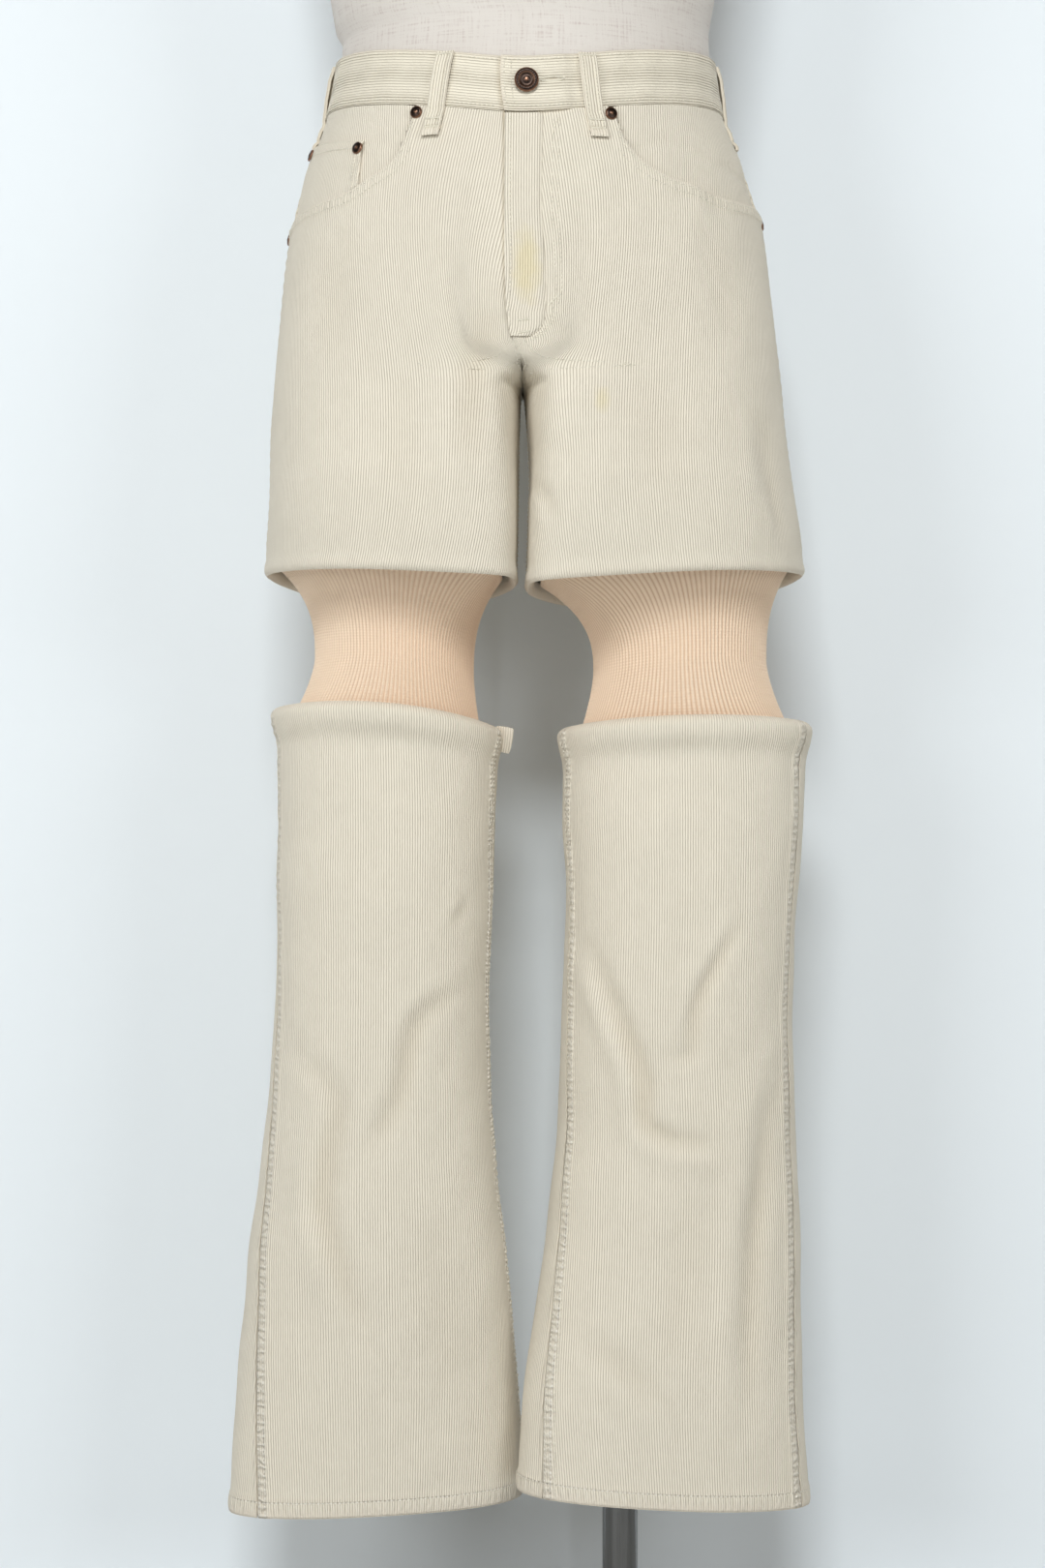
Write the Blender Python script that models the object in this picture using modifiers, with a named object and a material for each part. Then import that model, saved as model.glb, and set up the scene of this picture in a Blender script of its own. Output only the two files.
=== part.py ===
"""Rib knit trousers on a dress form: five-pocket corduroy trousers whose knees are rib knit tubes,
worn by a linen-covered torso on a steel pole and base plate.

Metres, +Z up. The trousers face -Y, so the wearer's left is at +X. The origin is on the floor
under the middle of the base plate. Left and right are the wearer's.
"""

import math
from collections import namedtuple

import bmesh
import bpy
import numpy as np
from mathutils import Matrix, Vector

# Cloth
WALL = 0.002
SEAM_GAP = 0.0003
SEAM_SHARE = 0.0004
CORDUROY = (0.78, 0.73, 0.62)
KNIT_COLOUR = (0.86, 0.66, 0.48)
LINEN = (0.74, 0.69, 0.65)

# Waistband, its overlap at the front, and the belt loops
BAND_HEIGHT = 0.038
BAND_WALL = 0.0026
BAND_FRONT_TOP = 1.119
BAND_SIDE_RISE = 0.019
BAND_BACK_RISE = 0.009
BAND_ANGLES = (-7.5, 368.0)
OVERLAP_ENDS = (9.5, 15.0)
LOOP_WIDTH = 0.0124
LOOP_WALL = 0.0015
LOOP_BELOW_BAND = 0.021
LOOP_BULGE = 0.0022

BeltLoop = namedtuple("BeltLoop", "name angle_top angle_low")
BELT_LOOPS = (
    BeltLoop("front_right", -23.2, -24.7),
    BeltLoop("front_left", 17.6, 18.6),
    BeltLoop("side_right", -93.0, -94.0),
    BeltLoop("side_left", 93.0, 94.0),
    BeltLoop("back", 180.0, 180.0),
)

# Button and rivets
BUTTON_ANGLE = 0.4
BUTTON_Z = 1.1013
BUTTON_PROFILE = (
    (0, 0.0036),
    (0.0048, 0.0034),
    (0.0056, 0.0042),
    (0.0072, 0.0042),
    (0.0082, 0.0032),
    (0.0082, 0.0022),
    (0.0070, 0.0016),
    (0.0035, 0.0014),
    (0.0035, 0.0),
    (0, 0.0),
)
RIVET_PROFILE = (
    (0, 0.0013),
    (0.0020, 0.0012),
    (0.0034, 0.0008),
    (0.0043, 0.0),
    (0, 0.0),
)
Rivet = namedtuple("Rivet", "name leg share drop out")
RIVETS = (
    Rivet("pocket_top_right", "right", 0.150, 0.0055, 0.0006),
    Rivet("pocket_top_left", "left", 0.1465, 0.0058, 0.0006),
    Rivet("pocket_side_right", "right", 0.494, 0.0855, 0.0006),
    Rivet("pocket_side_left", "left", 0.494, 0.0750, 0.0006),
    Rivet("coin_front", "right", 0.254, 0.0310, 0.0016),
    Rivet("coin_side", "right", 0.438, 0.0300, 0.0016),
)

# Crotch, and how far above it the two legs become one body
CROTCH = 0.905
HIP_BLEND = (0.790, 1.075)
YOKE_LEVEL = 1.012
CROTCH_CURVE = 0.046
FRONT_CORNER = 1.75

# Rib knit knees
RIBS = 140
RIB_DEPTH = 0.0009
KNIT_WALL = 0.0014
KNIT_TOP_CURVE = 2.7
KNIT_FOOT_CURVE = 1.5
KNIT_TUCK = 0.005
KNIT_LEVELS = (0.0, 0.22, 0.56, 0.82, 1.0)

# Dress form and stand
POLE_RADIUS = 0.0125
POLE_X = 0.069
POLE_Y = 0.0
FORM_BOTTOM = 0.950
FLANGE_RADIUS = 0.032
FLANGE_THICK = 0.008
BASE_RADIUS = 0.160
BASE_THICK = 0.010
COLLAR_RADIUS = 0.024
COLLAR_HEIGHT = 0.030
NECK_TOP = 1.612
CAP_PROFILE = (
    (0, 0.016),
    (0.020, 0.0145),
    (0.038, 0.0100),
    (0.0475, 0.0030),
    (0.0480, 0.0),
    (0, 0.0),
)

# The body of the trousers above the crotch: reach to the wearer's right and left of the middle,
# to the front and to the back, at each height.
Hip = namedtuple("Hip", "height right left front back")
HIPS = (
    Hip(1.160, 0.1300, 0.1345, 0.096, 0.094),
    Hip(1.140, 0.1310, 0.1356, 0.098, 0.097),
    Hip(1.100, 0.1384, 0.1418, 0.103, 0.107),
    Hip(1.065, 0.1507, 0.1555, 0.107, 0.119),
    Hip(1.030, 0.1610, 0.1668, 0.110, 0.129),
    Hip(0.970, 0.1690, 0.1754, 0.109, 0.134),
    Hip(0.905, 0.1754, 0.1829, 0.1065, 0.126),
)

# A leg: reach of its inner and outer edge from the middle plane, its depth to the front and back,
# and how far behind the middle its inner edge is swung.
Leg = namedtuple("Leg", "height inner outer front back swing")
THIGHS = {
    "right": (
        Leg(1.030, 0.0010, 0.1610, 0.106, 0.124, 0.0),
        Leg(0.970, 0.0010, 0.1690, 0.103, 0.120, -0.020),
        Leg(0.905, 0.0005, 0.1754, 0.1005, 0.110, -0.032),
        Leg(0.890, 0.0016, 0.1765, 0.0995, 0.104, -0.032),
        Leg(0.850, 0.0026, 0.1780, 0.0965, 0.094, -0.030),
        Leg(0.810, 0.0033, 0.1795, 0.0930, 0.087, -0.028),
        Leg(0.768, 0.0042, 0.1820, 0.0890, 0.083, -0.026),
    ),
    "left": (
        Leg(1.030, 0.0010, 0.1668, 0.106, 0.124, 0.0),
        Leg(0.970, 0.0010, 0.1754, 0.103, 0.120, -0.020),
        Leg(0.905, 0.0005, 0.1829, 0.1005, 0.110, -0.032),
        Leg(0.890, 0.0020, 0.1850, 0.0995, 0.104, -0.032),
        Leg(0.850, 0.0046, 0.1890, 0.0965, 0.094, -0.030),
        Leg(0.810, 0.0038, 0.1956, 0.0930, 0.087, -0.028),
        Leg(0.764, 0.0022, 0.1990, 0.0890, 0.083, -0.026),
    ),
}
SHINS = {
    "right": (
        Leg(0.690, 0.0106, 0.1788, 0.066, 0.066, 0.0),
        Leg(0.630, 0.0170, 0.1733, 0.062, 0.064, 0.0),
        Leg(0.550, 0.0212, 0.1733, 0.064, 0.066, 0.0),
        Leg(0.460, 0.0240, 0.1754, 0.062, 0.064, 0.0),
        Leg(0.380, 0.0209, 0.1829, 0.058, 0.060, 0.0),
        Leg(0.300, 0.0127, 0.1932, 0.054, 0.056, 0.002),
        Leg(0.200, 0.0041, 0.2024, 0.049, 0.051, 0.014),
        Leg(0.112, -0.0003, 0.2078, 0.046, 0.047, 0.020),
    ),
    "left": (
        Leg(0.690, 0.0224, 0.2069, 0.066, 0.066, 0.0),
        Leg(0.630, 0.0270, 0.2010, 0.062, 0.064, 0.0),
        Leg(0.550, 0.0305, 0.1942, 0.064, 0.066, 0.0),
        Leg(0.460, 0.0274, 0.1908, 0.062, 0.064, 0.0),
        Leg(0.380, 0.0240, 0.1935, 0.058, 0.060, 0.0),
        Leg(0.300, 0.0147, 0.1966, 0.054, 0.056, -0.002),
        Leg(0.200, 0.0005, 0.1981, 0.049, 0.051, -0.014),
        Leg(0.118, -0.0052, 0.2035, 0.046, 0.047, -0.020),
    ),
}

# Heights of the four edges that run round a leg, at its inner, outer, front and back point.
Edge = namedtuple("Edge", "inner outer front back")
THIGH_RIM = {
    "right": Edge(0.768, 0.776, 0.774, 0.758),
    "left": Edge(0.764, 0.776, 0.7725, 0.756),
}
SHIN_TOP = {
    "right": Edge(0.669, 0.683, 0.6855, 0.683),
    "left": Edge(0.669, 0.673, 0.677, 0.675),
}
HEM = {
    "right": Edge(0.1240, 0.1175, 0.1208, 0.1208),
    "left": Edge(0.1374, 0.1231, 0.1300, 0.1300),
}

# How the cloth turns in at a knee: distance from the edge, and how far in from the leg's outline.
Turn = namedtuple("Turn", "along inset")
THIGH_TURN = (
    Turn(0.012, 0.0),
    Turn(0.0025, 0.0006),
    Turn(0.0, 0.0032),
    Turn(0.0025, 0.0062),
    Turn(0.009, 0.0066),
)
SHIN_TURN = (
    Turn(0.009, 0.0135),
    Turn(0.0018, 0.0128),
    Turn(0.0, 0.0095),
    Turn(0.0006, 0.0040),
    Turn(0.0040, 0.0004),
    Turn(0.010, 0.0),
    Turn(0.026, 0.0050),
    Turn(0.042, 0.0030),
    Turn(0.070, 0.0),
)
RECESS_AT_SIDES = 0.35

# The waist of each rib knit tube, and how far its ends lie inside the turned edges.
Knit = namedtuple("Knit", "middle half_width half_depth share top_inside foot_inside")
KNITS = {
    "right": Knit(0.0906, 0.0562, 0.0545, 0.60, 0.0032, 0.0022),
    "left": Knit(0.1113, 0.0612, 0.0580, 0.57, 0.0033, 0.0022),
}

# Where the side seam and the inseam run on the lower leg, as shares of the way round it, at the
# knee and at the hem: 0 is the inner edge, a quarter the front and a half the outer edge.
SeamRun = namedtuple("SeamRun", "inner_knee inner_hem outer_knee outer_hem")
SHIN_SEAMS = {
    "right": SeamRun(0.045, -0.020, 0.465, 0.385),
    "left": SeamRun(0.045, 0.104, 0.430, 0.428),
}

# The largest folds, as soft troughs: the trough's two ends across and up the leg, how far it bows
# to the side, its half-width and its depth. A ridge has a negative depth.
Fold = namedtuple("Fold", "leg face x_top z_top x_low z_low bow width depth")
FOLDS = (
    Fold("right", "front", -0.026, 0.960, -0.032, 0.845, 0.004, 0.013, 0.0035),
    Fold("right", "front", -0.156, 0.465, -0.120, 0.240, 0.012, 0.014, 0.0050),
    Fold("right", "front", -0.036, 0.510, -0.112, 0.365, 0.008, 0.013, 0.0045),
    Fold("right", "back", -0.050, 0.850, -0.130, 0.826, 0.006, 0.010, 0.0040),
    Fold("right", "back", -0.150, 0.540, -0.080, 0.400, 0.010, 0.015, 0.0050),
    Fold("right", "back", -0.040, 0.420, -0.090, 0.240, -0.010, 0.016, 0.0045),
    Fold("left", "front", 0.034, 0.545, 0.100, 0.385, -0.010, 0.015, 0.0065),
    Fold("left", "front", 0.150, 0.545, 0.110, 0.435, -0.006, 0.010, 0.0050),
    Fold("left", "front", 0.080, 0.394, 0.140, 0.382, 0.003, 0.009, 0.0040),
    Fold("left", "front", 0.180, 0.520, 0.152, 0.165, -0.008, 0.014, 0.0050),
    Fold("left", "back", 0.050, 0.846, 0.130, 0.830, -0.006, 0.010, 0.0040),
    Fold("left", "back", 0.160, 0.540, 0.090, 0.410, -0.010, 0.015, 0.0050),
    Fold("left", "back", 0.060, 0.440, 0.110, 0.250, 0.010, 0.016, 0.0045),
)

# The scooped front pocket: how far its mouth lies below the waistband, at shares of the way round.
Mouth = namedtuple("Mouth", "share right left")
POCKET_MOUTH = (
    Mouth(0.152, 0.0000, 0.0060),
    Mouth(0.161, 0.0190, 0.0240),
    Mouth(0.169, 0.0300, 0.0310),
    Mouth(0.185, 0.0405, 0.0390),
    Mouth(0.220, 0.0500, 0.0500),
    Mouth(0.262, 0.0600, 0.0565),
    Mouth(0.327, 0.0665, 0.0650),
    Mouth(0.410, 0.0720, 0.0670),
    Mouth(0.500, 0.0790, 0.0680),
)
FRONT_SHARES = (0.0, 0.030, 0.075, 0.120, 0.144)
COIN_WALL = 0.0012
FACING_WALL = 0.0013
POCKET_WALL = 0.0015
POCKET_LEVELS = (0.995, 0.980, 0.950, 0.925, 0.905, 0.890)
POCKET_POINT = 0.0145
FLY_WALL = 0.0010
FLY_OVERHANG = -0.004
FACING_TUCK = 0.014
FACING_REACH = 0.028
FACING_SHY = 0.0006

# The dress form below the waistband is the trousers' own outline, set in; above it has sections.
Inset = namedtuple("Inset", "height inset")
FORM_HIPS = (
    Inset(FORM_BOTTOM, 0.055),
    Inset(0.956, 0.042),
    Inset(0.970, 0.026),
    Inset(0.995, 0.014),
    Inset(1.030, 0.007),
    Inset(1.065, 0.0075),
    Inset(1.095, 0.0058),
    Inset(1.110, 0.0038),
    Inset(1.126, 0.0032),
    Inset(1.142, 0.0032),
)
Torso = namedtuple("Torso", "height half_width front back")
FORM_CHEST = (
    Torso(1.160, 0.1317, 0.0945, 0.0930),
    Torso(1.185, 0.1360, 0.0960, 0.0940),
    Torso(1.240, 0.1445, 0.1020, 0.0980),
    Torso(1.310, 0.1545, 0.1100, 0.1020),
    Torso(1.370, 0.1620, 0.1160, 0.1045),
    Torso(1.430, 0.1690, 0.1110, 0.1045),
    Torso(1.480, 0.1770, 0.0960, 0.0990),
    Torso(1.515, 0.1800, 0.0770, 0.0860),
    Torso(1.535, 0.1600, 0.0640, 0.0750),
    Torso(1.553, 0.1150, 0.0560, 0.0650),
    Torso(1.570, 0.0740, 0.0530, 0.0570),
    Torso(NECK_TOP, 0.0580, 0.0500, 0.0500),
)

SIDES = {"right": -1, "left": 1}


def column(rows, name):
    """One named column of a table, as an array."""
    return np.array([getattr(row, name) for row in rows], float)


def smooth(rows, along, name, where):
    """Reads a column of a table between its rows, on a smooth curve through them."""
    knots = column(rows, along)
    values = column(rows, name)
    order = np.argsort(knots)
    knots, values = knots[order], values[order]
    slopes = np.gradient(values, knots)
    where = np.clip(where, knots[0], knots[-1])
    i = np.clip(np.searchsorted(knots, where) - 1, 0, len(knots) - 2)
    step = knots[i + 1] - knots[i]
    t = (where - knots[i]) / step
    rise = values[i] * (1 + 2 * t) * (1 - t) ** 2 + values[i + 1] * t * t * (3 - 2 * t)
    return rise + step * (slopes[i] * t * (1 - t) ** 2 + slopes[i + 1] * t * t * (t - 1))


def round_edge(edge, share):
    """Height of an edge that runs round a leg, from its inner, outer, front and back heights."""
    turn = 2 * math.pi * share
    middle = (edge.inner + edge.outer) / 2 + (edge.inner - edge.outer) / 2 * np.cos(turn)
    half = (edge.inner + edge.outer) / 2
    front = (edge.front - half) * np.clip(np.sin(turn), 0, 1) ** 2
    back = (edge.back - half) * np.clip(-np.sin(turn), 0, 1) ** 2
    return middle + front + back


def front_seam(z):
    """How far to the wearer's right the fly's edge and front seam run."""
    return -0.0005 - 0.0094 * np.clip((z - CROTCH) / 0.045, 0, 1) ** 0.7


def hip_ring(angle, z, out=0.0):
    """A point of the body of the trousers: angle in degrees from the front towards the wearer's left."""
    turn = np.radians(angle)
    right = smooth(HIPS, "height", "right", z)
    left = smooth(HIPS, "height", "left", z)
    half = (left + right) / 2 + out
    depth = np.where(
        np.cos(turn) > 0, smooth(HIPS, "height", "front", z), smooth(HIPS, "height", "back", z)
    )
    x = (left - right) / 2 + half * np.sin(turn)
    y = -(depth + out) * np.cos(turn)
    return np.stack(np.broadcast_arrays(x, y, z + 0 * x), -1)


def leg_ring(rows, side, share, z, corner=0.0):
    """A point of a leg: share of the way round it from its inner edge, by way of the front. The
    corner value makes the ring squarer between its inner edge and its front."""
    turn = 2 * math.pi * share
    inner = smooth(rows, "height", "inner", z)
    outer = smooth(rows, "height", "outer", z)
    depth = np.where(
        np.sin(turn) > 0, smooth(rows, "height", "front", z), smooth(rows, "height", "back", z)
    )
    swing = smooth(rows, "height", "swing", z)
    power = 2.25 + corner * np.clip(np.cos(turn), 0, 1) * (np.sin(turn) > 0)
    square = (np.abs(np.cos(turn)) ** power + np.abs(np.sin(turn)) ** power) ** (-1 / power)
    x = side * ((inner + outer) / 2 - (outer - inner) / 2 * square * np.cos(turn))
    y = swing * (0.5 + 0.5 * np.cos(turn)) - depth * square * np.sin(turn)
    return np.stack(np.broadcast_arrays(x, y, z + 0 * x), -1)


def upper_form(leg, share, z):
    """The cloth from the waist to the knee, where two legs grow out of one body at the crotch."""
    side = SIDES[leg]
    rise = np.clip((z - HIP_BLEND[0]) / (HIP_BLEND[1] - HIP_BLEND[0]), 0, 1)
    near = np.cos(math.pi * share) ** 16
    quick = np.clip((z - CROTCH) / CROTCH_CURVE, 0, 1)
    arc = (1 - (1 - quick) ** 2) ** (0.5 + 1.5 * (1 - near))
    joined = (near * arc + (1 - near) * rise * rise * (3 - 2 * rise))[..., None]
    middle = smooth(HIPS, "height", "left", z) - smooth(HIPS, "height", "right", z)
    half = (smooth(HIPS, "height", "left", z) + smooth(HIPS, "height", "right", z)) / 2
    start = np.degrees(np.arcsin((front_seam(z) - middle / 2) / half))
    front = start + (side * 90 - start) * 2 * share
    angle = np.where(share < 0.5, front, side * 180 * share)
    ring = leg_ring(THIGHS[leg], side, share, z, FRONT_CORNER)
    return (1 - joined) * ring + joined * hip_ring(angle, z)


def lower_form(leg, share, z):
    """The cloth of the lower leg."""
    return leg_ring(SHINS[leg], SIDES[leg], share, z)


def trough(points, leg, share):
    """How deep the folds are at these points."""
    depth = np.zeros(points.shape[:-1])
    face = np.where((share % 1.0) < 0.5, "front", "back")
    for fold in FOLDS:
        if fold.leg != leg:
            continue
        run = np.array([fold.x_low - fold.x_top, fold.z_low - fold.z_top])
        length = np.linalg.norm(run)
        ahead = run / length
        gone = points[..., ::2] - np.array([fold.x_top, fold.z_top])
        t = gone @ ahead / length
        inside = np.clip(t, 0, 1)
        across = gone @ np.array([-ahead[1], ahead[0]]) - fold.bow * 4 * inside * (1 - inside)
        fade = np.where((t > 0) & (t < 1), np.sin(math.pi * inside) ** 0.8, 0)
        hollow = fold.depth * np.exp(-((across / fold.width) ** 2)) * fade
        depth += np.where(face == fold.face, hollow, 0)
    return depth


def skin(form, leg, share, z, out=0.0):
    """Points of a cloth surface, moved out along its normal, with the folds sunk in."""
    share, z = np.broadcast_arrays(np.asarray(share, float), np.asarray(z, float))
    here = form(leg, share, z)
    along = form(leg, share + 0.003, z) - form(leg, share - 0.003, z)
    upward = form(leg, share, z + 0.006) - form(leg, share, z - 0.006)
    normal = np.cross(along, upward) * SIDES[leg]
    normal /= np.linalg.norm(normal, axis=-1, keepdims=True)
    return here + normal * (np.asarray(out) - trough(here, leg, share))[..., None]


def band_top(angle):
    """Height of the waistband's upper edge, lowest at the front and highest at the back."""
    turn = np.radians(angle)
    forward = BAND_SIDE_RISE * (np.hypot(np.sin(turn), 0.15) - 0.15) / 0.861
    behind = BAND_SIDE_RISE + BAND_BACK_RISE * (1 - np.abs(np.sin(turn)))
    return BAND_FRONT_TOP + np.where(np.cos(turn) > 0, forward, behind)


def band_bottom(leg, share):
    """Height of the seam under the waistband."""
    side = SIDES[leg]
    angle = np.where(share < 0.5, -4 + (side * 90 + 4) * 2 * share, side * 180 * share)
    return band_top(angle) - BAND_HEIGHT


def material(name, colour, roughness, metallic=0.0):
    """A plain finish."""
    made = bpy.data.materials.new(name)
    made.use_nodes = True
    shader = made.node_tree.nodes["Principled BSDF"]
    shader.inputs["Base Color"].default_value = (*colour, 1)
    shader.inputs["Roughness"].default_value = roughness
    shader.inputs["Metallic"].default_value = metallic
    return made


def new_object(name, mesh, finish, sharp=50):
    """Puts a mesh in the collection of the object, with its finish, shaded smooth."""
    mesh.materials.append(finish)
    mesh.shade_smooth()
    mesh.set_sharp_from_angle(angle=math.radians(sharp))
    made = bpy.data.objects.new(name, mesh)
    bpy.data.collections["rib_knit_trousers"].objects.link(made)
    return made


def grid_faces(rows, columns, wrap=False):
    """Quads of a grid of points, row by row; wrap joins the last column to the first."""
    across = columns if wrap else columns - 1
    return [
        (
            r * columns + c,
            r * columns + (c + 1) % columns,
            (r + 1) * columns + (c + 1) % columns,
            (r + 1) * columns + c,
        )
        for r in range(rows - 1)
        for c in range(across)
    ]


def walled(name, outer, inner, finish):
    """A closed wall between two grids of points, rows by columns."""
    rows, columns = outer.shape[:2]
    count = rows * columns
    faces = grid_faces(rows, columns)
    faces += [tuple(count + v for v in face[::-1]) for face in faces]
    edge = [c for c in range(columns)]
    edge += [r * columns + columns - 1 for r in range(1, rows)]
    edge += [(rows - 1) * columns + c for c in range(columns - 2, -1, -1)]
    edge += [r * columns for r in range(rows - 2, 0, -1)]
    after = edge[1:] + edge[:1]
    faces += [(b, a, count + a, count + b) for a, b in zip(edge, after)]
    points = np.concatenate([outer.reshape(-1, 3), inner.reshape(-1, 3)])
    return closed_mesh(name, points, faces, finish)


def closed_mesh(name, points, faces, finish, sharp=50):
    """One closed body from points and faces, with its faces turned out."""
    mesh = bpy.data.meshes.new(name)
    mesh.from_pydata(points.tolist(), [], faces)
    shape = bmesh.new()
    shape.from_mesh(mesh)
    bmesh.ops.recalc_face_normals(shape, faces=shape.faces[:])
    if shape.calc_volume(signed=True) < 0:
        bmesh.ops.reverse_faces(shape, faces=shape.faces[:])
    shape.to_mesh(mesh)
    shape.free()
    return new_object(name, mesh, finish, sharp)


def panel(name, form, leg, shares, heights, finish, out=0.0, wall=WALL):
    """A cut piece of cloth on a leg: heights has a row for each level and a column for each share.
    The wall follows the cloth's own slope, also round a turned edge."""
    outer = skin(form, leg, shares, heights, out)
    along = skin(form, leg, shares + 0.004, heights, out) - skin(form, leg, shares - 0.004, heights, out)
    normal = np.cross(np.gradient(outer, axis=0), along) * SIDES[leg]
    normal /= np.linalg.norm(normal, axis=-1, keepdims=True)
    return walled(name, outer, outer - wall * normal, finish)


def mouth_drop(leg, shares):
    """How far below the waistband the pocket's mouth lies."""
    return np.interp(shares, column(POCKET_MOUTH, "share"), column(POCKET_MOUTH, leg))


def yoke_seam(leg, shares):
    """The seam under the back yoke, lower at the middle of the back than at the side."""
    return band_bottom(leg, shares) - 0.030 - 0.034 * (2 * shares - 1)


def thigh_panel(name, leg, shares, top, finish):
    """One half of a thigh: levels that follow its upper edge, level ones, then the turned edge."""
    joined = YOKE_LEVEL
    upper = [top + (joined - top) * part for part in (0, 0.33, 0.67, 1.0)]
    lower = [np.full(len(shares), level) for level in (0.98, 0.95, 0.925, 0.905, 0.89, 0.862, 0.82)]
    rim = round_edge(THIGH_RIM[leg], shares)
    turned = [rim + turn.along for turn in THIGH_TURN]
    heights = np.array(upper + lower + turned)
    flat = [0.0] * (len(upper) + len(lower))
    out = np.array(flat + [-turn.inset for turn in THIGH_TURN])[:, None]
    panel(name, upper_form, leg, shares, heights, finish, out)


def thighs(finish):
    """The front and back of each leg from the waistband or yoke to the knee, and the yokes."""
    for leg in SIDES:
        shares = np.concatenate([FRONT_SHARES, column(POCKET_MOUTH, "share")])
        drop = np.where(shares < POCKET_MOUTH[0].share, 0, mouth_drop(leg, shares))
        shares[0] += SEAM_SHARE
        shares[-1] -= SEAM_SHARE
        top = band_bottom(leg, shares) - SEAM_GAP - drop
        thigh_panel("front_" + leg, leg, shares, top, finish)
        shares = np.linspace(0.5 + SEAM_SHARE, 1 - SEAM_SHARE, 11)
        low = yoke_seam(leg, shares)
        thigh_panel("back_" + leg, leg, shares, low - SEAM_GAP, finish)
        top = band_bottom(leg, shares) - SEAM_GAP
        heights = np.array([top, (top + low) / 2, low])
        panel("yoke_" + leg, upper_form, leg, shares, heights, finish)


def facing_inset(drop, mouth):
    """The facing lies under the front at the pocket's mouth and nearly level with it above."""
    above = np.clip((mouth - drop - 0.004) / FACING_REACH, 0, 1)
    return -(WALL + 0.0005) * (1 - above) - FACING_SHY * above


def facings(finish):
    """The hip piece that shows in each front pocket's mouth, and the coin pocket on the right one."""
    for leg in SIDES:
        shares = np.concatenate([[0.136], column(POCKET_MOUTH, "share")])
        shares[-1] -= SEAM_SHARE
        mouth = mouth_drop(leg, shares)
        drops = np.array([SEAM_GAP + (mouth + FACING_TUCK) * part for part in (0, 0.3, 0.6, 0.8, 1)])
        heights = band_bottom(leg, shares) - drops
        out = facing_inset(drops, mouth)
        panel("facing_" + leg, upper_form, leg, shares, heights, finish, out, FACING_WALL)
    shares = np.array([0.245, 0.262, 0.327, 0.410, 0.450])
    mouth = mouth_drop("right", shares)
    top = np.linspace(0.026, 0.024, len(shares))
    drops = np.array([top + (mouth - 0.0004 - top) * part for part in (0, 0.33, 0.67, 1.0)])
    out = facing_inset(drops, mouth) + 0.0004 + COIN_WALL
    heights = band_bottom("right", shares) - drops
    panel("coin_pocket", upper_form, "right", shares, heights, finish, out, COIN_WALL)


def back_pockets(finish):
    """A plain patch pocket with a pointed foot on each back."""
    columns = np.linspace(0.5 + SEAM_SHARE, 1 - SEAM_SHARE, 11)[2:8]
    point = 1 - np.abs(np.linspace(-1, 1, len(columns)))
    for leg in SIDES:
        levels = [np.full(len(columns), level) for level in POCKET_LEVELS]
        heights = np.array(levels + [POCKET_LEVELS[-1] - 0.001 - POCKET_POINT * point])
        out = 0.0008 + POCKET_WALL
        panel("back_pocket_" + leg, upper_form, leg, columns, heights, finish, out, POCKET_WALL)


def fly(finish):
    """The overlapping fly edge with its curved foot, from the waistband to above the crotch."""
    heights = np.array([1.0796, 1.058, 1.036, 1.012, 0.990, 0.975, 0.963, 0.954, 0.948])
    reach = np.array([0.048, 0.048, 0.048, 0.048, 0.047, 0.044, 0.037, 0.025, 0.010])
    across = np.linspace(0, 1, 5)
    shares = FLY_OVERHANG + (reach[:, None] - FLY_OVERHANG) * across
    level = heights[:, None] + 0 * shares
    panel("fly", upper_form, "left", shares, level, finish, 0.0006 + FLY_WALL, FLY_WALL)


def waistband(finish):
    """The band from its free end at the front, right round, to the end that lies under it."""
    angle = np.linspace(BAND_ANGLES[0], BAND_ANGLES[1], 47)
    raised = np.clip((OVERLAP_ENDS[1] - angle) / (OVERLAP_ENDS[1] - OVERLAP_ENDS[0]), 0, 1)
    proud = (BAND_WALL + 0.0005) * raised * raised * (3 - 2 * raised) + BAND_WALL - WALL
    top = band_top(angle)
    heights = np.array([top, top - BAND_HEIGHT / 2, top - BAND_HEIGHT])
    outer = hip_ring(angle, heights, proud)
    inner = hip_ring(angle, heights, proud - BAND_WALL)
    walled("waistband", outer, inner, finish)


def metres_per_degree(angle, z):
    """Length of the body's outline for each degree at this place."""
    return np.linalg.norm(hip_ring(angle + 1, z) - hip_ring(angle - 1, z), axis=-1) / 2


def belt_loops(finish):
    """Narrow strips from the band's upper edge to below it, thicker at the folded foot."""
    path = ((0.0, 0.0), (0.16, 1.0), (0.40, 1.0), (0.60, 0.35), (0.72, 0.0), (1.0, 0.0))
    for loop in BELT_LOOPS:
        part = np.array([row[0] for row in path])[:, None]
        bulge = np.array([row[1] for row in path])[:, None] * LOOP_BULGE
        angle = loop.angle_top + (loop.angle_low - loop.angle_top) * part
        top = band_top(angle) - 0.0006
        low = band_top(angle) - BAND_HEIGHT - LOOP_BELOW_BAND
        z = top + (low - top) * part
        across = np.array([-0.5, 0.0, 0.5])[None, :] * LOOP_WIDTH / metres_per_degree(angle, z)
        on_band = np.where(part < 0.66, BAND_WALL - WALL, 0.0)
        lift = 0.0006 + on_band + bulge
        thick = LOOP_WALL + np.where(part > 0.7, 0.0009, 0.0)
        shape = (angle + across, z + 0 * across)
        outer = hip_ring(*shape, lift + thick + 0 * across)
        inner = hip_ring(*shape, lift + 0 * across)
        walled("belt_loop_" + loop.name, outer, inner, finish)


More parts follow.
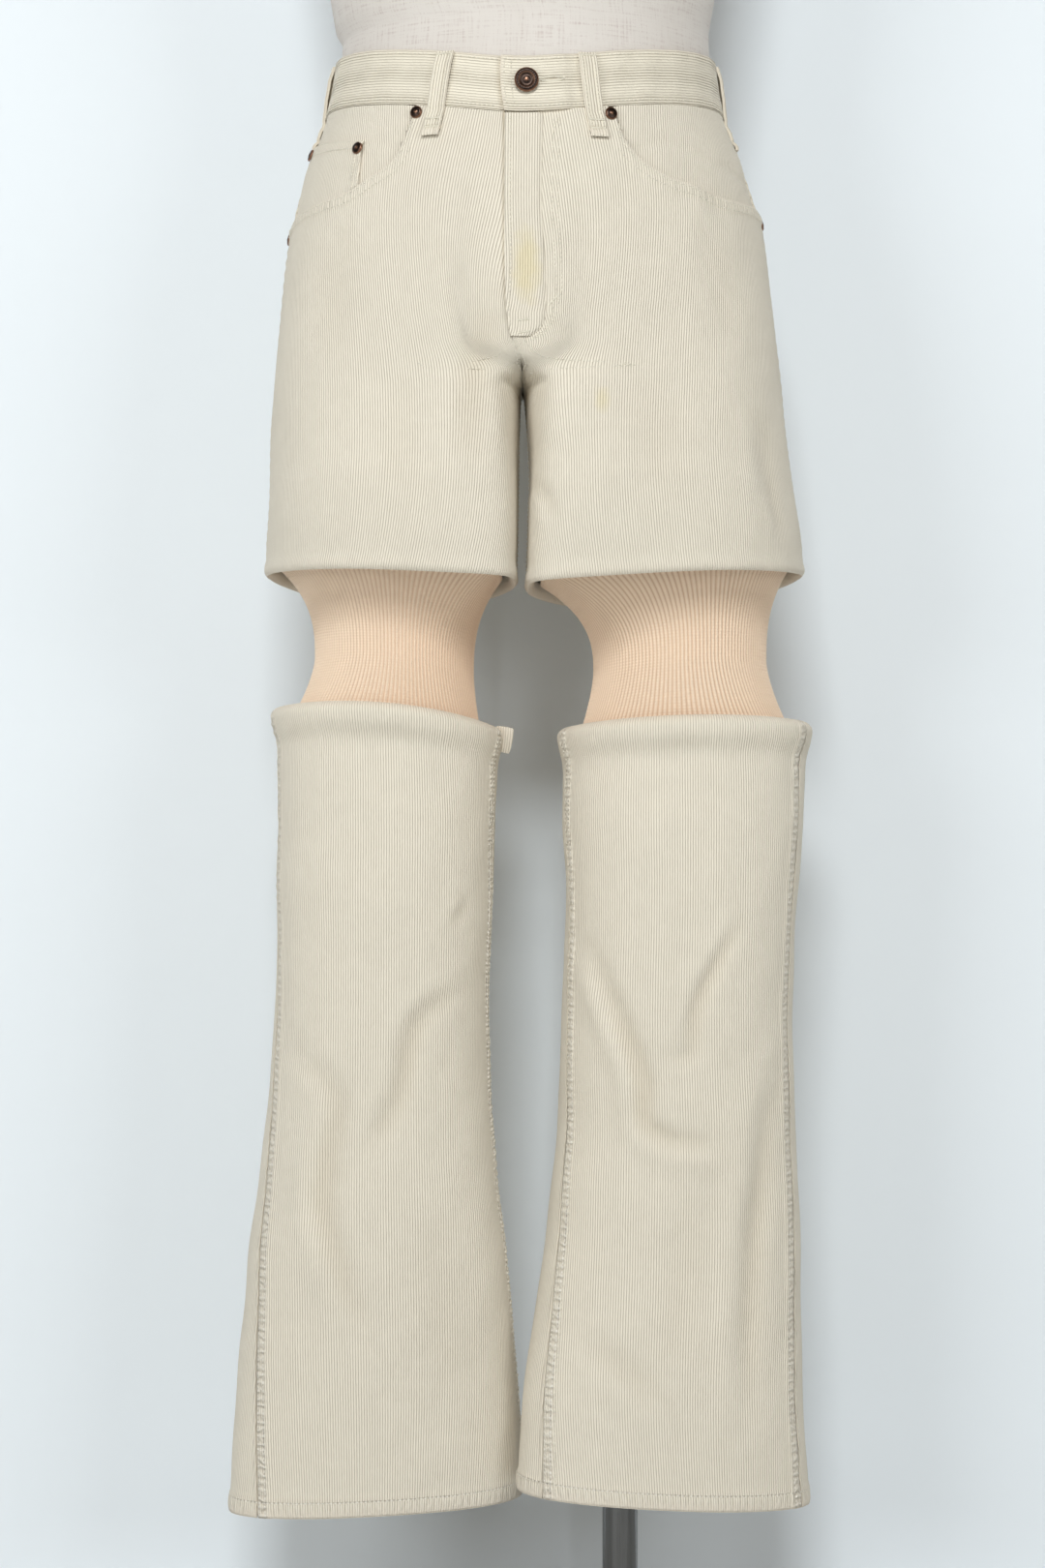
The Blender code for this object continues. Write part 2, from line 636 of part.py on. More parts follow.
def knit_ring(leg, share, t):
    """A point of a knee tube: share of the way round it, and t from its top edge to its foot."""
    knit, side = KNITS[leg], SIDES[leg]
    top = round_edge(THIGH_RIM[leg], share) + KNIT_TUCK
    low = round_edge(SHIN_TOP[leg], share) - KNIT_TUCK
    z = top + (low - top) * t
    upper = np.clip((knit.share - t) / knit.share, 0, 1)[..., None] ** KNIT_TOP_CURVE
    lower = np.clip((t - knit.share) / (1 - knit.share), 0, 1)[..., None] ** KNIT_FOOT_CURVE
    wide = skin(upper_form, leg, share, top, -THIGH_TURN[-1].inset - knit.top_inside)
    foot = skin(lower_form, leg, share, low, -SHIN_TURN[0].inset - knit.foot_inside)
    turn = 2 * math.pi * share
    x = side * (knit.middle - knit.half_width * np.cos(turn))
    waist = np.stack(np.broadcast_arrays(x, -knit.half_depth * np.sin(turn), z), -1)
    point = waist * (1 - upper - lower) + wide * upper + foot * lower
    point[..., 2] = z
    return point


def knees(finish):
    """The two rib knit tubes: raised ribs outside, plain inside."""
    t = np.array(KNIT_LEVELS)[:, None]
    for leg in SIDES:
        plain = knit_ring(leg, np.arange(RIBS // 4)[None, :] / (RIBS // 4), t)
        fine = np.arange(2 * RIBS)
        outer = knit_ring(leg, fine[None, :] / (2 * RIBS), t)
        inward = outer.mean(1, keepdims=True) - outer
        inward[..., 2] = 0
        inward /= np.linalg.norm(inward, axis=-1, keepdims=True)
        outer = outer + inward * (RIB_DEPTH * (fine % 2))[None, :, None]
        inward = plain.mean(1, keepdims=True) - plain
        inward[..., 2] = 0
        inward /= np.linalg.norm(inward, axis=-1, keepdims=True)
        tube("knit_" + leg, outer, plain + inward * (RIB_DEPTH + KNIT_WALL), finish)


def tube(name, outer, inner, finish):
    """A closed wall between a ring of many columns and one with an eighth as many."""
    rows, many = outer.shape[:2]
    few = inner.shape[1]
    start = rows * many
    faces = grid_faces(rows, many, wrap=True)
    faces += [tuple(start + v for v in face[::-1]) for face in grid_faces(rows, few, wrap=True)]
    for row in (0, rows - 1):
        for c in range(few):
            a = start + row * few + c
            b = start + row * few + (c + 1) % few
            rim = [row * many + (8 * c + k) % many for k in range(9)]
            faces += [(a, rim[k], rim[k + 1]) for k in range(4)] + [(a, rim[4], b)]
            faces += [(b, rim[k], rim[k + 1]) for k in range(4, 8)]
    points = np.concatenate([outer.reshape(-1, 3), inner.reshape(-1, 3)])
    closed_mesh(name, points, faces, finish, sharp=75)


def shins(finish):
    """The front and back of each lower leg, from its rolled upper edge to the hem."""
    for leg in SIDES:
        seams = SHIN_SEAMS[leg]
        down = np.concatenate([[0] * len(SHIN_TURN), np.linspace(0, 1, 9)[1:]])[:, None]
        inner = seams.inner_knee + (seams.inner_hem - seams.inner_knee) * down
        outer = seams.outer_knee + (seams.outer_hem - seams.outer_knee) * down
        across = np.linspace(0, 1, 10)
        spans = {"front": (inner, outer), "back": (outer, inner + 1)}
        for face, (start, end) in spans.items():
            shares = start + SEAM_SHARE + (end - start - 2 * SEAM_SHARE) * across
            rim = round_edge(SHIN_TOP[leg], shares[:1])
            turned = [rim - turn.along for turn in SHIN_TURN]
            hem = round_edge(HEM[leg], shares[-1:])
            plain = [turned[-1] + (hem - turned[-1]) * part for part in down[len(SHIN_TURN):, 0]]
            heights = np.concatenate(turned + plain)
            inset = np.array([turn.inset for turn in SHIN_TURN] + [0.0] * len(plain))[:, None]
            below = np.array([turn.along > 0.010 for turn in SHIN_TURN] + [False] * len(plain))[:, None]
            shallow = RECESS_AT_SIDES + (1 - RECESS_AT_SIDES) * np.abs(np.sin(2 * math.pi * shares))
            out = -inset * np.where(below, shallow, 1.0)
            panel("shin_" + face + "_" + leg, lower_form, leg, shares, heights, finish, out)


def turned_solid(name, profile, finish, steps=24):
    """A solid turned about Z from a profile of radius and height, outer side top to bottom."""
    mesh = bpy.data.meshes.new(name)
    points = [(radius, 0, height) for radius, height in profile]
    mesh.from_pydata(points, [(i, i + 1) for i in range(len(points) - 1)], [])
    made = new_object(name, mesh, finish)
    screw = made.modifiers.new("turn", "SCREW")
    screw.steps = steps
    screw.render_steps = steps
    screw.use_merge_vertices = True
    screw.merge_threshold = 0.00001
    screw.use_smooth_shade = True
    return made


def face_along(made, point, normal):
    """Stands a turned solid on a point of the cloth, its axis along the normal."""
    turn = Vector(normal).to_track_quat("Z", "Y").to_matrix().to_4x4()
    made.matrix_world = Matrix.Translation(Vector(point)) @ turn


def metal_parts(button_finish, rivet_finish):
    """The shank button on the band's free end and the rivets at the pockets' corners."""
    at = [hip_ring(BUTTON_ANGLE, BUTTON_Z, out)[()] for out in (0.0, 0.01)]
    normal = (at[1] - at[0]) / 0.01
    stand = BAND_WALL - WALL + BAND_WALL + 0.0009 + SEAM_GAP
    button = turned_solid("button", BUTTON_PROFILE, button_finish, 20)
    face_along(button, at[0] + normal * stand, normal)
    for rivet in RIVETS:
        z = band_bottom(rivet.leg, rivet.share) - rivet.drop
        at = [skin(upper_form, rivet.leg, rivet.share, z, out) for out in (rivet.out, 0.01 + rivet.out)]
        normal = (at[1] - at[0]) / 0.01
        made = turned_solid("rivet_" + rivet.name, RIVET_PROFILE, rivet_finish, 12)
        face_along(made, at[0], normal)


def dress_form(linen, cap_finish):
    """The limbless torso that the trousers are put on, and the cap on its neck."""
    angle = np.arange(32) * 11.25
    turn = np.radians(angle)
    rings = []
    for row in FORM_HIPS:
        rings.append(hip_ring(angle, np.full(32, row.height), -row.inset))
    for row in FORM_CHEST:
        depth = np.where(np.cos(turn) > 0, row.front, row.back)
        ring = (row.half_width * np.sin(turn), -depth * np.cos(turn), np.full(32, row.height))
        rings.append(np.stack(ring, -1))
    points = np.array(rings)
    faces = grid_faces(len(rings), 32, wrap=True)
    faces += [tuple(range(32)), tuple(range((len(rings) - 1) * 32, len(rings) * 32))]
    closed_mesh("torso", points.reshape(-1, 3), faces, linen)
    cap = turned_solid("neck_cap", CAP_PROFILE, cap_finish, 24)
    cap.location = (0.0, 0.0, NECK_TOP + SEAM_GAP)


def stand(pole_finish, plate_finish):
    """The pole in the wearer's left leg, its flange under the torso and its base plate."""
    top = FORM_BOTTOM - SEAM_GAP
    low = top - FLANGE_THICK
    flange_profile = ((0, top), (FLANGE_RADIUS - 0.001, top), (FLANGE_RADIUS, top - 0.001))
    flange_profile += ((FLANGE_RADIUS, low + 0.001), (FLANGE_RADIUS - 0.001, low), (0, low))
    turned_solid("flange", flange_profile, plate_finish, 24)
    top = low - SEAM_GAP
    low = BASE_THICK + COLLAR_HEIGHT + SEAM_GAP
    turned_solid("pole", ((0, top), (POLE_RADIUS, top), (POLE_RADIUS, low), (0, low)), pole_finish, 24)
    high, top = BASE_THICK + COLLAR_HEIGHT, BASE_THICK
    profile = ((0, high), (COLLAR_RADIUS - 0.003, high), (COLLAR_RADIUS, high - 0.003))
    profile += ((COLLAR_RADIUS, top + 0.004), (COLLAR_RADIUS + 0.004, top))
    profile += ((BASE_RADIUS - 0.004, top), (BASE_RADIUS - 0.001, top - 0.001))
    profile += ((BASE_RADIUS, top - 0.004), (BASE_RADIUS, 0.001), (BASE_RADIUS - 0.001, 0), (0, 0))
    turned_solid("base_plate", profile, plate_finish, 40)
    for name in ("flange", "pole", "base_plate"):
        bpy.data.objects[name].location = (POLE_X, POLE_Y, 0.0)


def main():
    """Clears the file and builds every piece."""
    for old in list(bpy.data.objects):
        bpy.data.objects.remove(old)
    group = bpy.data.collections.new("rib_knit_trousers")
    bpy.context.scene.collection.children.link(group)
    corduroy = material("corduroy", CORDUROY, 0.9)
    knit = material("rib_knit", KNIT_COLOUR, 0.9)
    linen = material("linen", LINEN, 0.85)
    copper = material("dark_copper", (0.16, 0.09, 0.06), 0.35, 1.0)
    chrome = material("chrome", (0.75, 0.75, 0.76), 0.12, 1.0)
    paint = material("painted_steel", (0.55, 0.55, 0.54), 0.45)
    thighs(corduroy)
    facings(corduroy)
    back_pockets(corduroy)
    fly(corduroy)
    waistband(corduroy)
    belt_loops(corduroy)
    knees(knit)
    shins(corduroy)
    metal_parts(copper, copper)
    dress_form(linen, paint)
    stand(chrome, paint)


main()
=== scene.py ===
"""Corduroy trousers with rib knit knees, worn by a linen dress form on a steel stand.

Metres, +Z up. The trousers face -Y, and left and right are the wearer's.
"""

import math
from collections import namedtuple

import bmesh
import bpy
import numpy as np
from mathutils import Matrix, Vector


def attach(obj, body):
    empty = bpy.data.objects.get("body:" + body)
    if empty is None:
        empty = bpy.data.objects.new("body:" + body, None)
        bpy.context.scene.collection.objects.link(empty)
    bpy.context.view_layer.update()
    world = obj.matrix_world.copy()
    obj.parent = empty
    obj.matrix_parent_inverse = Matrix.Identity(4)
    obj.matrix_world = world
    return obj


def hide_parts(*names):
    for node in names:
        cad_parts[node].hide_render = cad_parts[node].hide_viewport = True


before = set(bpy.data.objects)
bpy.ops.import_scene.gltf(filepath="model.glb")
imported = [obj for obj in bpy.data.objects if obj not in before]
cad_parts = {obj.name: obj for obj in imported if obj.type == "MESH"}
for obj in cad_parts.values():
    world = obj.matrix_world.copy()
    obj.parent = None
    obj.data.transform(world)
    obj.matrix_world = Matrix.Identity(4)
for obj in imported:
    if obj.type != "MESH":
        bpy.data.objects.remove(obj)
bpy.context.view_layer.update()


# The room: a pale wall close behind the trousers, see-through from its back, a pale floor below the
# frame, a large soft light above the camera and a weaker one at each side, the left one stronger.
# The camera is level, at the height of the knees, two metres from the trousers.
def joined(*parts):
    """Coordinates, brought to one shape and stacked as points."""
    return np.stack(np.broadcast_arrays(*parts), -1)


def grid_mesh(name, points, wrap=False, uv=None):
    """A mesh of quads through a grid of points. Rows run down and columns from left to right as
    seen from outside; wrap joins the last column to the first. uv is the grid's flat place."""
    rows, columns = points.shape[:2]
    last = columns if wrap else columns - 1
    r, c = np.meshgrid(np.arange(rows - 1), np.arange(last), indexing="ij")
    after = (c + 1) % columns
    corners = [(r + 1, c), (r + 1, after), (r, after), (r, c)]
    faces = np.stack([a * columns + b for a, b in corners], -1).reshape(-1, 4)
    mesh = bpy.data.meshes.new(name)
    mesh.from_pydata(points.reshape(-1, 3).tolist(), [], faces.tolist())
    if uv is not None:
        flat = [(r + 1, c), (r + 1, c + 1), (r, c + 1), (r, c)]
        loops = np.stack([uv[a, b] for a, b in flat], -2).reshape(-1)
        mesh.uv_layers.new(name="cloth").data.foreach_set("uv", loops)
    return mesh


def piece(name, mesh, material):
    """An object of the trousers or the stand, shaded smooth, that rides on the one body."""
    mesh.materials.append(material)
    mesh.shade_smooth()
    made = bpy.data.objects.new(name, mesh)
    bpy.context.scene.collection.objects.link(made)
    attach(made, "root")
    return made


def principled(name, colour, roughness, metallic=0.0):
    """A material, its node tree and its shader."""
    made = bpy.data.materials.new(name)
    made.use_nodes = True
    shader = made.node_tree.nodes["Principled BSDF"]
    shader.inputs["Base Color"].default_value = (*colour, 1)
    shader.inputs["Roughness"].default_value = roughness
    shader.inputs["Metallic"].default_value = metallic
    return made, made.node_tree, shader


def node(tree, kind, inputs=None, **settings):
    """A shader node with its settings and inputs; an input is a value or another node's output."""
    made = tree.nodes.new(kind)
    for key, value in settings.items():
        setattr(made, key, value)
    for key, value in (inputs or {}).items():
        if isinstance(value, bpy.types.NodeSocket):
            tree.links.new(value, made.inputs[key])
        else:
            made.inputs[key].default_value = value
    return made


def mixed(tree, factor, a, b):
    """The colour output of one Mix node."""
    made = node(tree, "ShaderNodeMix", {0: factor}, data_type="RGBA")
    for socket, value in ((made.inputs[6], a), (made.inputs[7], b)):
        if isinstance(value, bpy.types.NodeSocket):
            tree.links.new(value, socket)
        else:
            socket.default_value = (*value, 1)
    return made.outputs[2]


def noise(tree, vector, scale, detail=2.0, rough=0.5):
    """The value output of one Noise node."""
    inputs = {"Vector": vector, "Scale": scale, "Detail": detail, "Roughness": rough}
    return node(tree, "ShaderNodeTexNoise", inputs).outputs[0]


def object_place(tree):
    """Where a point lies, in metres of its object."""
    return node(tree, "ShaderNodeTexCoord").outputs["Object"]


def finished(tree, shader, colour, roughness=None, height=None, strength=0.0, distance=0.0):
    """Joins a colour, and where they are given a roughness and a bumped height, to the shader."""
    tree.links.new(colour, shader.inputs["Base Color"])
    if roughness is not None:
        tree.links.new(roughness, shader.inputs["Roughness"])
    if height is not None:
        inputs = {"Height": height, "Strength": strength, "Distance": distance}
        bump = node(tree, "ShaderNodeBump", inputs)
        tree.links.new(bump.outputs[0], shader.inputs["Normal"])


WALL_Y, WALL_TOP, COVE, HALF_ROOM, FLOOR_START = 0.185, 3.2, 0.015, 3.0, -4.0
turn = np.linspace(0, 1, 25) * math.pi / 2
cove = joined(WALL_Y - COVE + COVE * np.sin(turn), COVE - COVE * np.cos(turn))
profile = np.concatenate([[[WALL_Y, WALL_TOP]], cove[::-1]])
across = np.linspace(-HALF_ROOM, HALF_ROOM, 2)
points = joined(across[None, :], profile[:, :1], profile[:, 1:])
paper, tree, shader = principled("studio_paper", (0.72, 0.76, 0.78), 0.9)
cloudy = noise(tree, object_place(tree), 1.3)
finished(tree, shader, mixed(tree, cloudy, (0.78, 0.812, 0.833), (0.81, 0.838, 0.854)))
from_behind = node(tree, "ShaderNodeNewGeometry").outputs["Backfacing"]
clear = node(tree, "ShaderNodeBsdfTransparent").outputs[0]
sides = node(tree, "ShaderNodeMixShader", {0: from_behind, 1: shader.outputs[0], 2: clear})
tree.links.new(sides.outputs[0], tree.nodes["Material Output"].inputs["Surface"])
lino, tree, shader = principled("studio_floor", (0.60, 0.60, 0.585), 0.6)
cloudy = noise(tree, object_place(tree), 1.1)
finished(tree, shader, mixed(tree, cloudy, (0.58, 0.58, 0.56), (0.62, 0.62, 0.605)))
ground = joined(across[None, :], np.array([[WALL_Y - COVE], [FLOOR_START]]), 0.0)
for name, spread, stuff in (("studio_wall", points, paper), ("studio_floor", ground, lino)):
    room = bpy.data.objects.new(name, grid_mesh(name, spread))
    room.data.materials.append(stuff)
    room.data.shade_smooth()
    bpy.context.scene.collection.objects.link(room)

CAMERA_DISTANCE, CAMERA_HEIGHT, FRAME_HEIGHT, SENSOR, LIT_HEIGHT = 2.0, 0.630, 1.1097, 36.0, 0.65
camera = bpy.data.objects.new("camera", bpy.data.cameras.new("camera"))
camera.location = (0, -CAMERA_DISTANCE, CAMERA_HEIGHT)
camera.rotation_euler = (math.pi / 2, 0, 0)
camera.data.sensor_fit = "VERTICAL"
camera.data.sensor_height = SENSOR
camera.data.lens = SENSOR * CAMERA_DISTANCE / FRAME_HEIGHT
bpy.context.scene.collection.objects.link(camera)
bpy.context.scene.camera = camera
bpy.context.scene.view_settings.view_transform = "Standard"

Lamp = namedtuple("Lamp", "name x y z size power")
LAMPS = (
    Lamp("softbox_above", -0.22, -3.5, 2.85, 1.0, 101.0),
    Lamp("softbox_left", -2.1, -2.7, 1.35, 1.2, 34.0),
    Lamp("softbox_right", 2.1, -2.7, 1.35, 1.2, 25.0),
)
for lamp in LAMPS:
    light = bpy.data.lights.new(lamp.name, "AREA")
    light.size = lamp.size
    light.energy = lamp.power
    light.color = (0.91, 0.965, 1.0)
    held = bpy.data.objects.new(lamp.name, light)
    held.location = (lamp.x, lamp.y, lamp.z)
    towards = Vector((0, 0, LIT_HEIGHT)) - held.location
    held.rotation_euler = towards.to_track_quat("-Z", "Y").to_euler()
    bpy.context.scene.collection.objects.link(held)
world = bpy.data.worlds.new("studio_air")
bpy.context.scene.world = world
world.use_nodes = True
world.node_tree.nodes["Background"].inputs["Color"].default_value = (1.0, 0.80, 0.60, 1)
world.node_tree.nodes["Background"].inputs["Strength"].default_value = 0.12


# The stand: a round steel base plate painted grey, a chromed steel tube that runs up the wearer's
# left leg, and a painted flange under the torso. The tube is screwed into the base's boss.
def math_node(tree, operation, a, b=0.0, c=0.0):
    """The output of one Math node."""
    return node(tree, "ShaderNodeMath", {0: a, 1: b, 2: c}, operation=operation).outputs[0]


def times_plus(tree, a, b, c):
    """The product of two values, and a third added."""
    return math_node(tree, "MULTIPLY_ADD", a, b, c)


def turned(name, profile, steps, centre=(0.0, 0.0, 0.0)):
    """A turned solid: the radius and height of a profile, outer side from top to bottom, carried
    once round an upright axis through centre. Points on the axis are merged."""
    radius, height = np.array(profile, float).T
    turn = 2 * math.pi * np.arange(steps) / steps
    x = centre[0] + radius[:, None] * np.cos(turn)
    y = centre[1] + radius[:, None] * np.sin(turn)
    return merged(grid_mesh(name, joined(x, y, centre[2] + height[:, None]), wrap=True))


def merged(mesh, reach=1e-6):
    """Merges a mesh's doubles and turns its faces outwards."""
    shape = bmesh.new()
    shape.from_mesh(mesh)
    bmesh.ops.remove_doubles(shape, verts=shape.verts[:], dist=reach)
    bmesh.ops.recalc_face_normals(shape, faces=shape.faces[:])
    if shape.calc_volume(signed=True) < 0:
        bmesh.ops.reverse_faces(shape, faces=shape.faces[:])
    shape.to_mesh(mesh)
    shape.free()
    return mesh


POLE_X, POLE_RADIUS, POLE_TOP, POLE_FOOT, BEVEL = 0.069, 0.0125, 0.9414, 0.0403, 0.001
chrome, tree, shader = principled("chromed_tube", (0.62, 0.62, 0.63), 0.10, 1.0)
squeezed = {"Vector": object_place(tree), "Scale": (1, 1, 0.02)}
drawn = noise(tree, node(tree, "ShaderNodeMapping", squeezed).outputs[0], 900.0)
shade = mixed(tree, drawn, (0.12, 0.118, 0.115), (0.20, 0.197, 0.194))
finished(tree, shader, shade, times_plus(tree, drawn, 0.10, 0.06))
tube = [(0, POLE_TOP), (POLE_RADIUS - BEVEL, POLE_TOP), (POLE_RADIUS, POLE_TOP - BEVEL)]
tube += [(POLE_RADIUS, POLE_FOOT + BEVEL), (POLE_RADIUS - BEVEL, POLE_FOOT), (0, POLE_FOOT)]
pole = piece("pole_tube", turned("pole_tube", tube, 96, (POLE_X, 0, 0)), chrome)
pole.data.set_sharp_from_angle(angle=math.radians(40))
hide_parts("pole")

paint, tree, shader = principled("grey_paint", (0.52, 0.52, 0.51), 0.42)
place = object_place(tree)
mottle = noise(tree, place, 45.0, 4.0)
shade = mixed(tree, mottle, (0.48, 0.48, 0.47), (0.55, 0.55, 0.54))
matt, peel = times_plus(tree, mottle, 0.2, 0.34), noise(tree, place, 900.0)
finished(tree, shader, shade, matt, peel, strength=0.15, distance=0.0003)
for name in ("base_plate", "flange", "neck_cap"):
    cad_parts[name].data.materials.clear()
    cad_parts[name].data.materials.append(paint)


# The torso: a limbless papier-mache shell covered with natural linen, stretched smooth and glued.
# Below the waist it is the trousers' own outline, set in, so that they rest on it.
Hip = namedtuple("Hip", "height right left front back")
HIPS = (
    Hip(1.160, 0.1300, 0.1345, 0.096, 0.094),
    Hip(1.140, 0.1310, 0.1356, 0.098, 0.097),
    Hip(1.100, 0.1384, 0.1418, 0.103, 0.107),
    Hip(1.065, 0.1507, 0.1555, 0.107, 0.119),
    Hip(1.030, 0.1610, 0.1668, 0.110, 0.129),
    Hip(0.970, 0.1690, 0.1754, 0.109, 0.134),
    Hip(0.905, 0.1754, 0.1829, 0.1065, 0.126),
)


def times(tree, a, b):
    """The product of two values."""
    return math_node(tree, "MULTIPLY", a, b)


def plus(tree, a, b):
    """The sum of two values."""
    return math_node(tree, "ADD", a, b)


def minus(tree, a, b):
    """The difference of two values."""
    return math_node(tree, "SUBTRACT", a, b)


def clamped(tree, value):
    """A value, held between 0 and 1."""
    return node(tree, "ShaderNodeClamp", {0: value}).outputs[0]


def bent(t, step, here, there, slope, slope_there):
    """A cubic between two knots a step apart, by the values and slopes at both."""
    rise = here * (1 + 2 * t) * (1 - t) ** 2 + there * t * t * (3 - 2 * t)
    return rise + step * (slope * t * (1 - t) ** 2 + slope_there * t * t * (t - 1))


def smooth(rows, name, where):
    """A named column of a table, read at any height on a smooth curve through its rows."""
    knots = np.array([row.height for row in rows][::-1])
    values = np.array([getattr(row, name) for row in rows][::-1])
    slopes = np.gradient(values, knots)
    where = np.clip(where, knots[0], knots[-1])
    i = np.clip(np.searchsorted(knots, where) - 1, 0, len(knots) - 2)
    step = knots[i + 1] - knots[i]
    t = (where - knots[i]) / step
    return bent(t, step, values[i], values[i + 1], slopes[i], slopes[i + 1])


def hip_ring(angle, z, out=0.0):
    """A point of the trousers' body: half an ellipse to the front and half to the back, at an
    angle in degrees from the front towards the wearer's left."""
    turn = np.radians(angle)
    right, left = smooth(HIPS, "right", z), smooth(HIPS, "left", z)
    depth = np.where(np.cos(turn) > 0, smooth(HIPS, "front", z), smooth(HIPS, "back", z))
    x = (left - right) / 2 + ((left + right) / 2 + out) * np.sin(turn)
    return joined(x, -(depth + out) * np.cos(turn), z + 0 * x)


def lengths(line):
    """How far along a line of points each of them lies."""
    return np.r_[0, np.cumsum(np.linalg.norm(np.diff(line, axis=0), axis=1))]


Torso = namedtuple("Torso", "height half_width front back")
CHEST = (
    Torso(1.612, 0.0580, 0.0500, 0.0500),
    Torso(1.570, 0.0740, 0.0530, 0.0570),
    Torso(1.553, 0.1150, 0.0560, 0.0650),
    Torso(1.535, 0.1600, 0.0640, 0.0750),
    Torso(1.515, 0.1800, 0.0770, 0.0860),
    Torso(1.480, 0.1770, 0.0960, 0.0990),
    Torso(1.430, 0.1690, 0.1110, 0.1045),
    Torso(1.370, 0.1620, 0.1160, 0.1045),
    Torso(1.310, 0.1545, 0.1100, 0.1020),
    Torso(1.240, 0.1445, 0.1020, 0.0980),
    Torso(1.185, 0.1360, 0.0960, 0.0940),
    Torso(1.160, 0.1317, 0.0945, 0.0930),
)
Inset = namedtuple("Inset", "height inset")
LINEN_GIRTH, THREADS_PER_METRE = 0.86, 1050.0
BELOW_WAIST = (
    Inset(1.142, 0.0032),
    Inset(1.126, 0.0032),
    Inset(1.110, 0.0040),
    Inset(1.095, 0.0060),
    Inset(1.065, 0.0075),
    Inset(1.030, 0.0080),
    Inset(0.995, 0.0140),
    Inset(0.970, 0.0260),
    Inset(0.956, 0.0420),
    Inset(0.9505, 0.0550),
)
TORSO_TOP, WAIST_JOIN, LINEN_TOP, TORSO_FOOT, COLUMNS = 1.612, 1.160, 1.152, 0.9505, 128
angle = np.arange(COLUMNS)[None, :] * 360 / COLUMNS
z = np.linspace(TORSO_TOP, WAIST_JOIN, 90)[:, None]
turn = np.radians(angle)
depth = np.where(np.cos(turn) > 0, smooth(CHEST, "front", z), smooth(CHEST, "back", z))
upper = joined(smooth(CHEST, "half_width", z) * np.sin(turn), -depth * np.cos(turn), z)
z = np.linspace(LINEN_TOP, TORSO_FOOT, 60)[:, None]
lower = hip_ring(angle, z, -np.interp(z, *np.array(BELOW_WAIST[::-1]).T))
top, foot = (np.broadcast_to([[0.0, 0.0, at]], (1, COLUMNS, 3)) for at in (TORSO_TOP, TORSO_FOOT))
points = np.concatenate([top, upper, lower, foot])
around = np.linspace(0, LINEN_GIRTH, COLUMNS + 1)[None, :] + 0 * points[:, :1, 0]
down = lengths(points[:, 0])[:, None] + 0 * around
linen, tree, shader = principled("natural_linen", (0.70, 0.66, 0.62), 0.85)
cloth = node(tree, "ShaderNodeUVMap", uv_map="cloth").outputs[0]
weft = node(tree, "ShaderNodeMapping", {"Vector": cloth, "Scale": (34, 620, 1)}).outputs[0]
warp = node(tree, "ShaderNodeMapping", {"Vector": cloth, "Scale": (700, 40, 1)}).outputs[0]
slub_across, slub_down = noise(tree, weft, 1.0, 3.0, 0.6), noise(tree, warp, 1.0, 3.0, 0.6)
thick = plus(tree, slub_across, slub_down)
lilac = clamped(tree, times(tree, minus(tree, thick, 1.04), 3.0))
pale = mixed(tree, noise(tree, cloth, 14.0, 3.0), (0.645, 0.585, 0.525), (0.725, 0.67, 0.615))
u, v, _ = node(tree, "ShaderNodeSeparateXYZ", {0: cloth}).outputs
over = math_node(tree, "SINE", times(tree, u, 2 * math.pi * THREADS_PER_METRE))
under = math_node(tree, "SINE", times(tree, v, 2 * math.pi * THREADS_PER_METRE))
weave = plus(tree, times(tree, over, under), times(tree, thick, 3.0))
flecked = mixed(tree, lilac, pale, (0.53, 0.44, 0.40))
finished(tree, shader, flecked, height=weave, strength=0.35, distance=0.0002)
shader.inputs["Sheen Weight"].default_value = 0.15
torso_mesh = grid_mesh("torso_linen", points, wrap=True, uv=np.stack([around, down], -1))
torso = piece("torso_linen", merged(torso_mesh), linen)
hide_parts("torso")


# The thighs: two fronts and two backs of cream fine-wale corduroy, cut separately, felled together
# at the sides and inner legs, and turned in at the knee. Above the crotch they share one outline.
Leg = namedtuple("Leg", "height inner outer front back swing")
THIGHS = {
    "right": (
        Leg(1.030, 0.0010, 0.1610, 0.106, 0.124, 0.0),
        Leg(0.970, 0.0010, 0.1690, 0.103, 0.120, -0.020),
        Leg(0.905, 0.0005, 0.1754, 0.1005, 0.110, -0.032),
        Leg(0.890, 0.0016, 0.1765, 0.0995, 0.104, -0.032),
        Leg(0.850, 0.0026, 0.1780, 0.0965, 0.094, -0.030),
        Leg(0.810, 0.0033, 0.1795, 0.0930, 0.087, -0.028),
        Leg(0.768, 0.0042, 0.1820, 0.0890, 0.083, -0.026),
    ),
    "left": (
        Leg(1.030, 0.0010, 0.1668, 0.106, 0.124, 0.0),
        Leg(0.970, 0.0010, 0.1754, 0.103, 0.120, -0.020),
        Leg(0.905, 0.0005, 0.1829, 0.1005, 0.110, -0.032),
        Leg(0.890, 0.0020, 0.1850, 0.0995, 0.104, -0.032),
        Leg(0.850, 0.0046, 0.1890, 0.0965, 0.094, -0.030),
        Leg(0.810, 0.0038, 0.1956, 0.0930, 0.087, -0.028),
        Leg(0.764, 0.0022, 0.1990, 0.0890, 0.083, -0.026),
    ),
}
Edge = namedtuple("Edge", "inner outer front back")
THIGH_RIM = {"right": Edge(0.768, 0.776, 0.774, 0.758), "left": Edge(0.764, 0.776, 0.7725, 0.756)}
SIDES = {"right": -1, "left": 1}
CROTCH, HIP_BLEND, FRONT_CORNER = 0.902, (0.790, 1.075), 4.5
CROTCH_CURVE, SEAT_CURVE, CLOSED, CROTCH_SPREAD = 0.018, 0.050, 0.005, 0.023
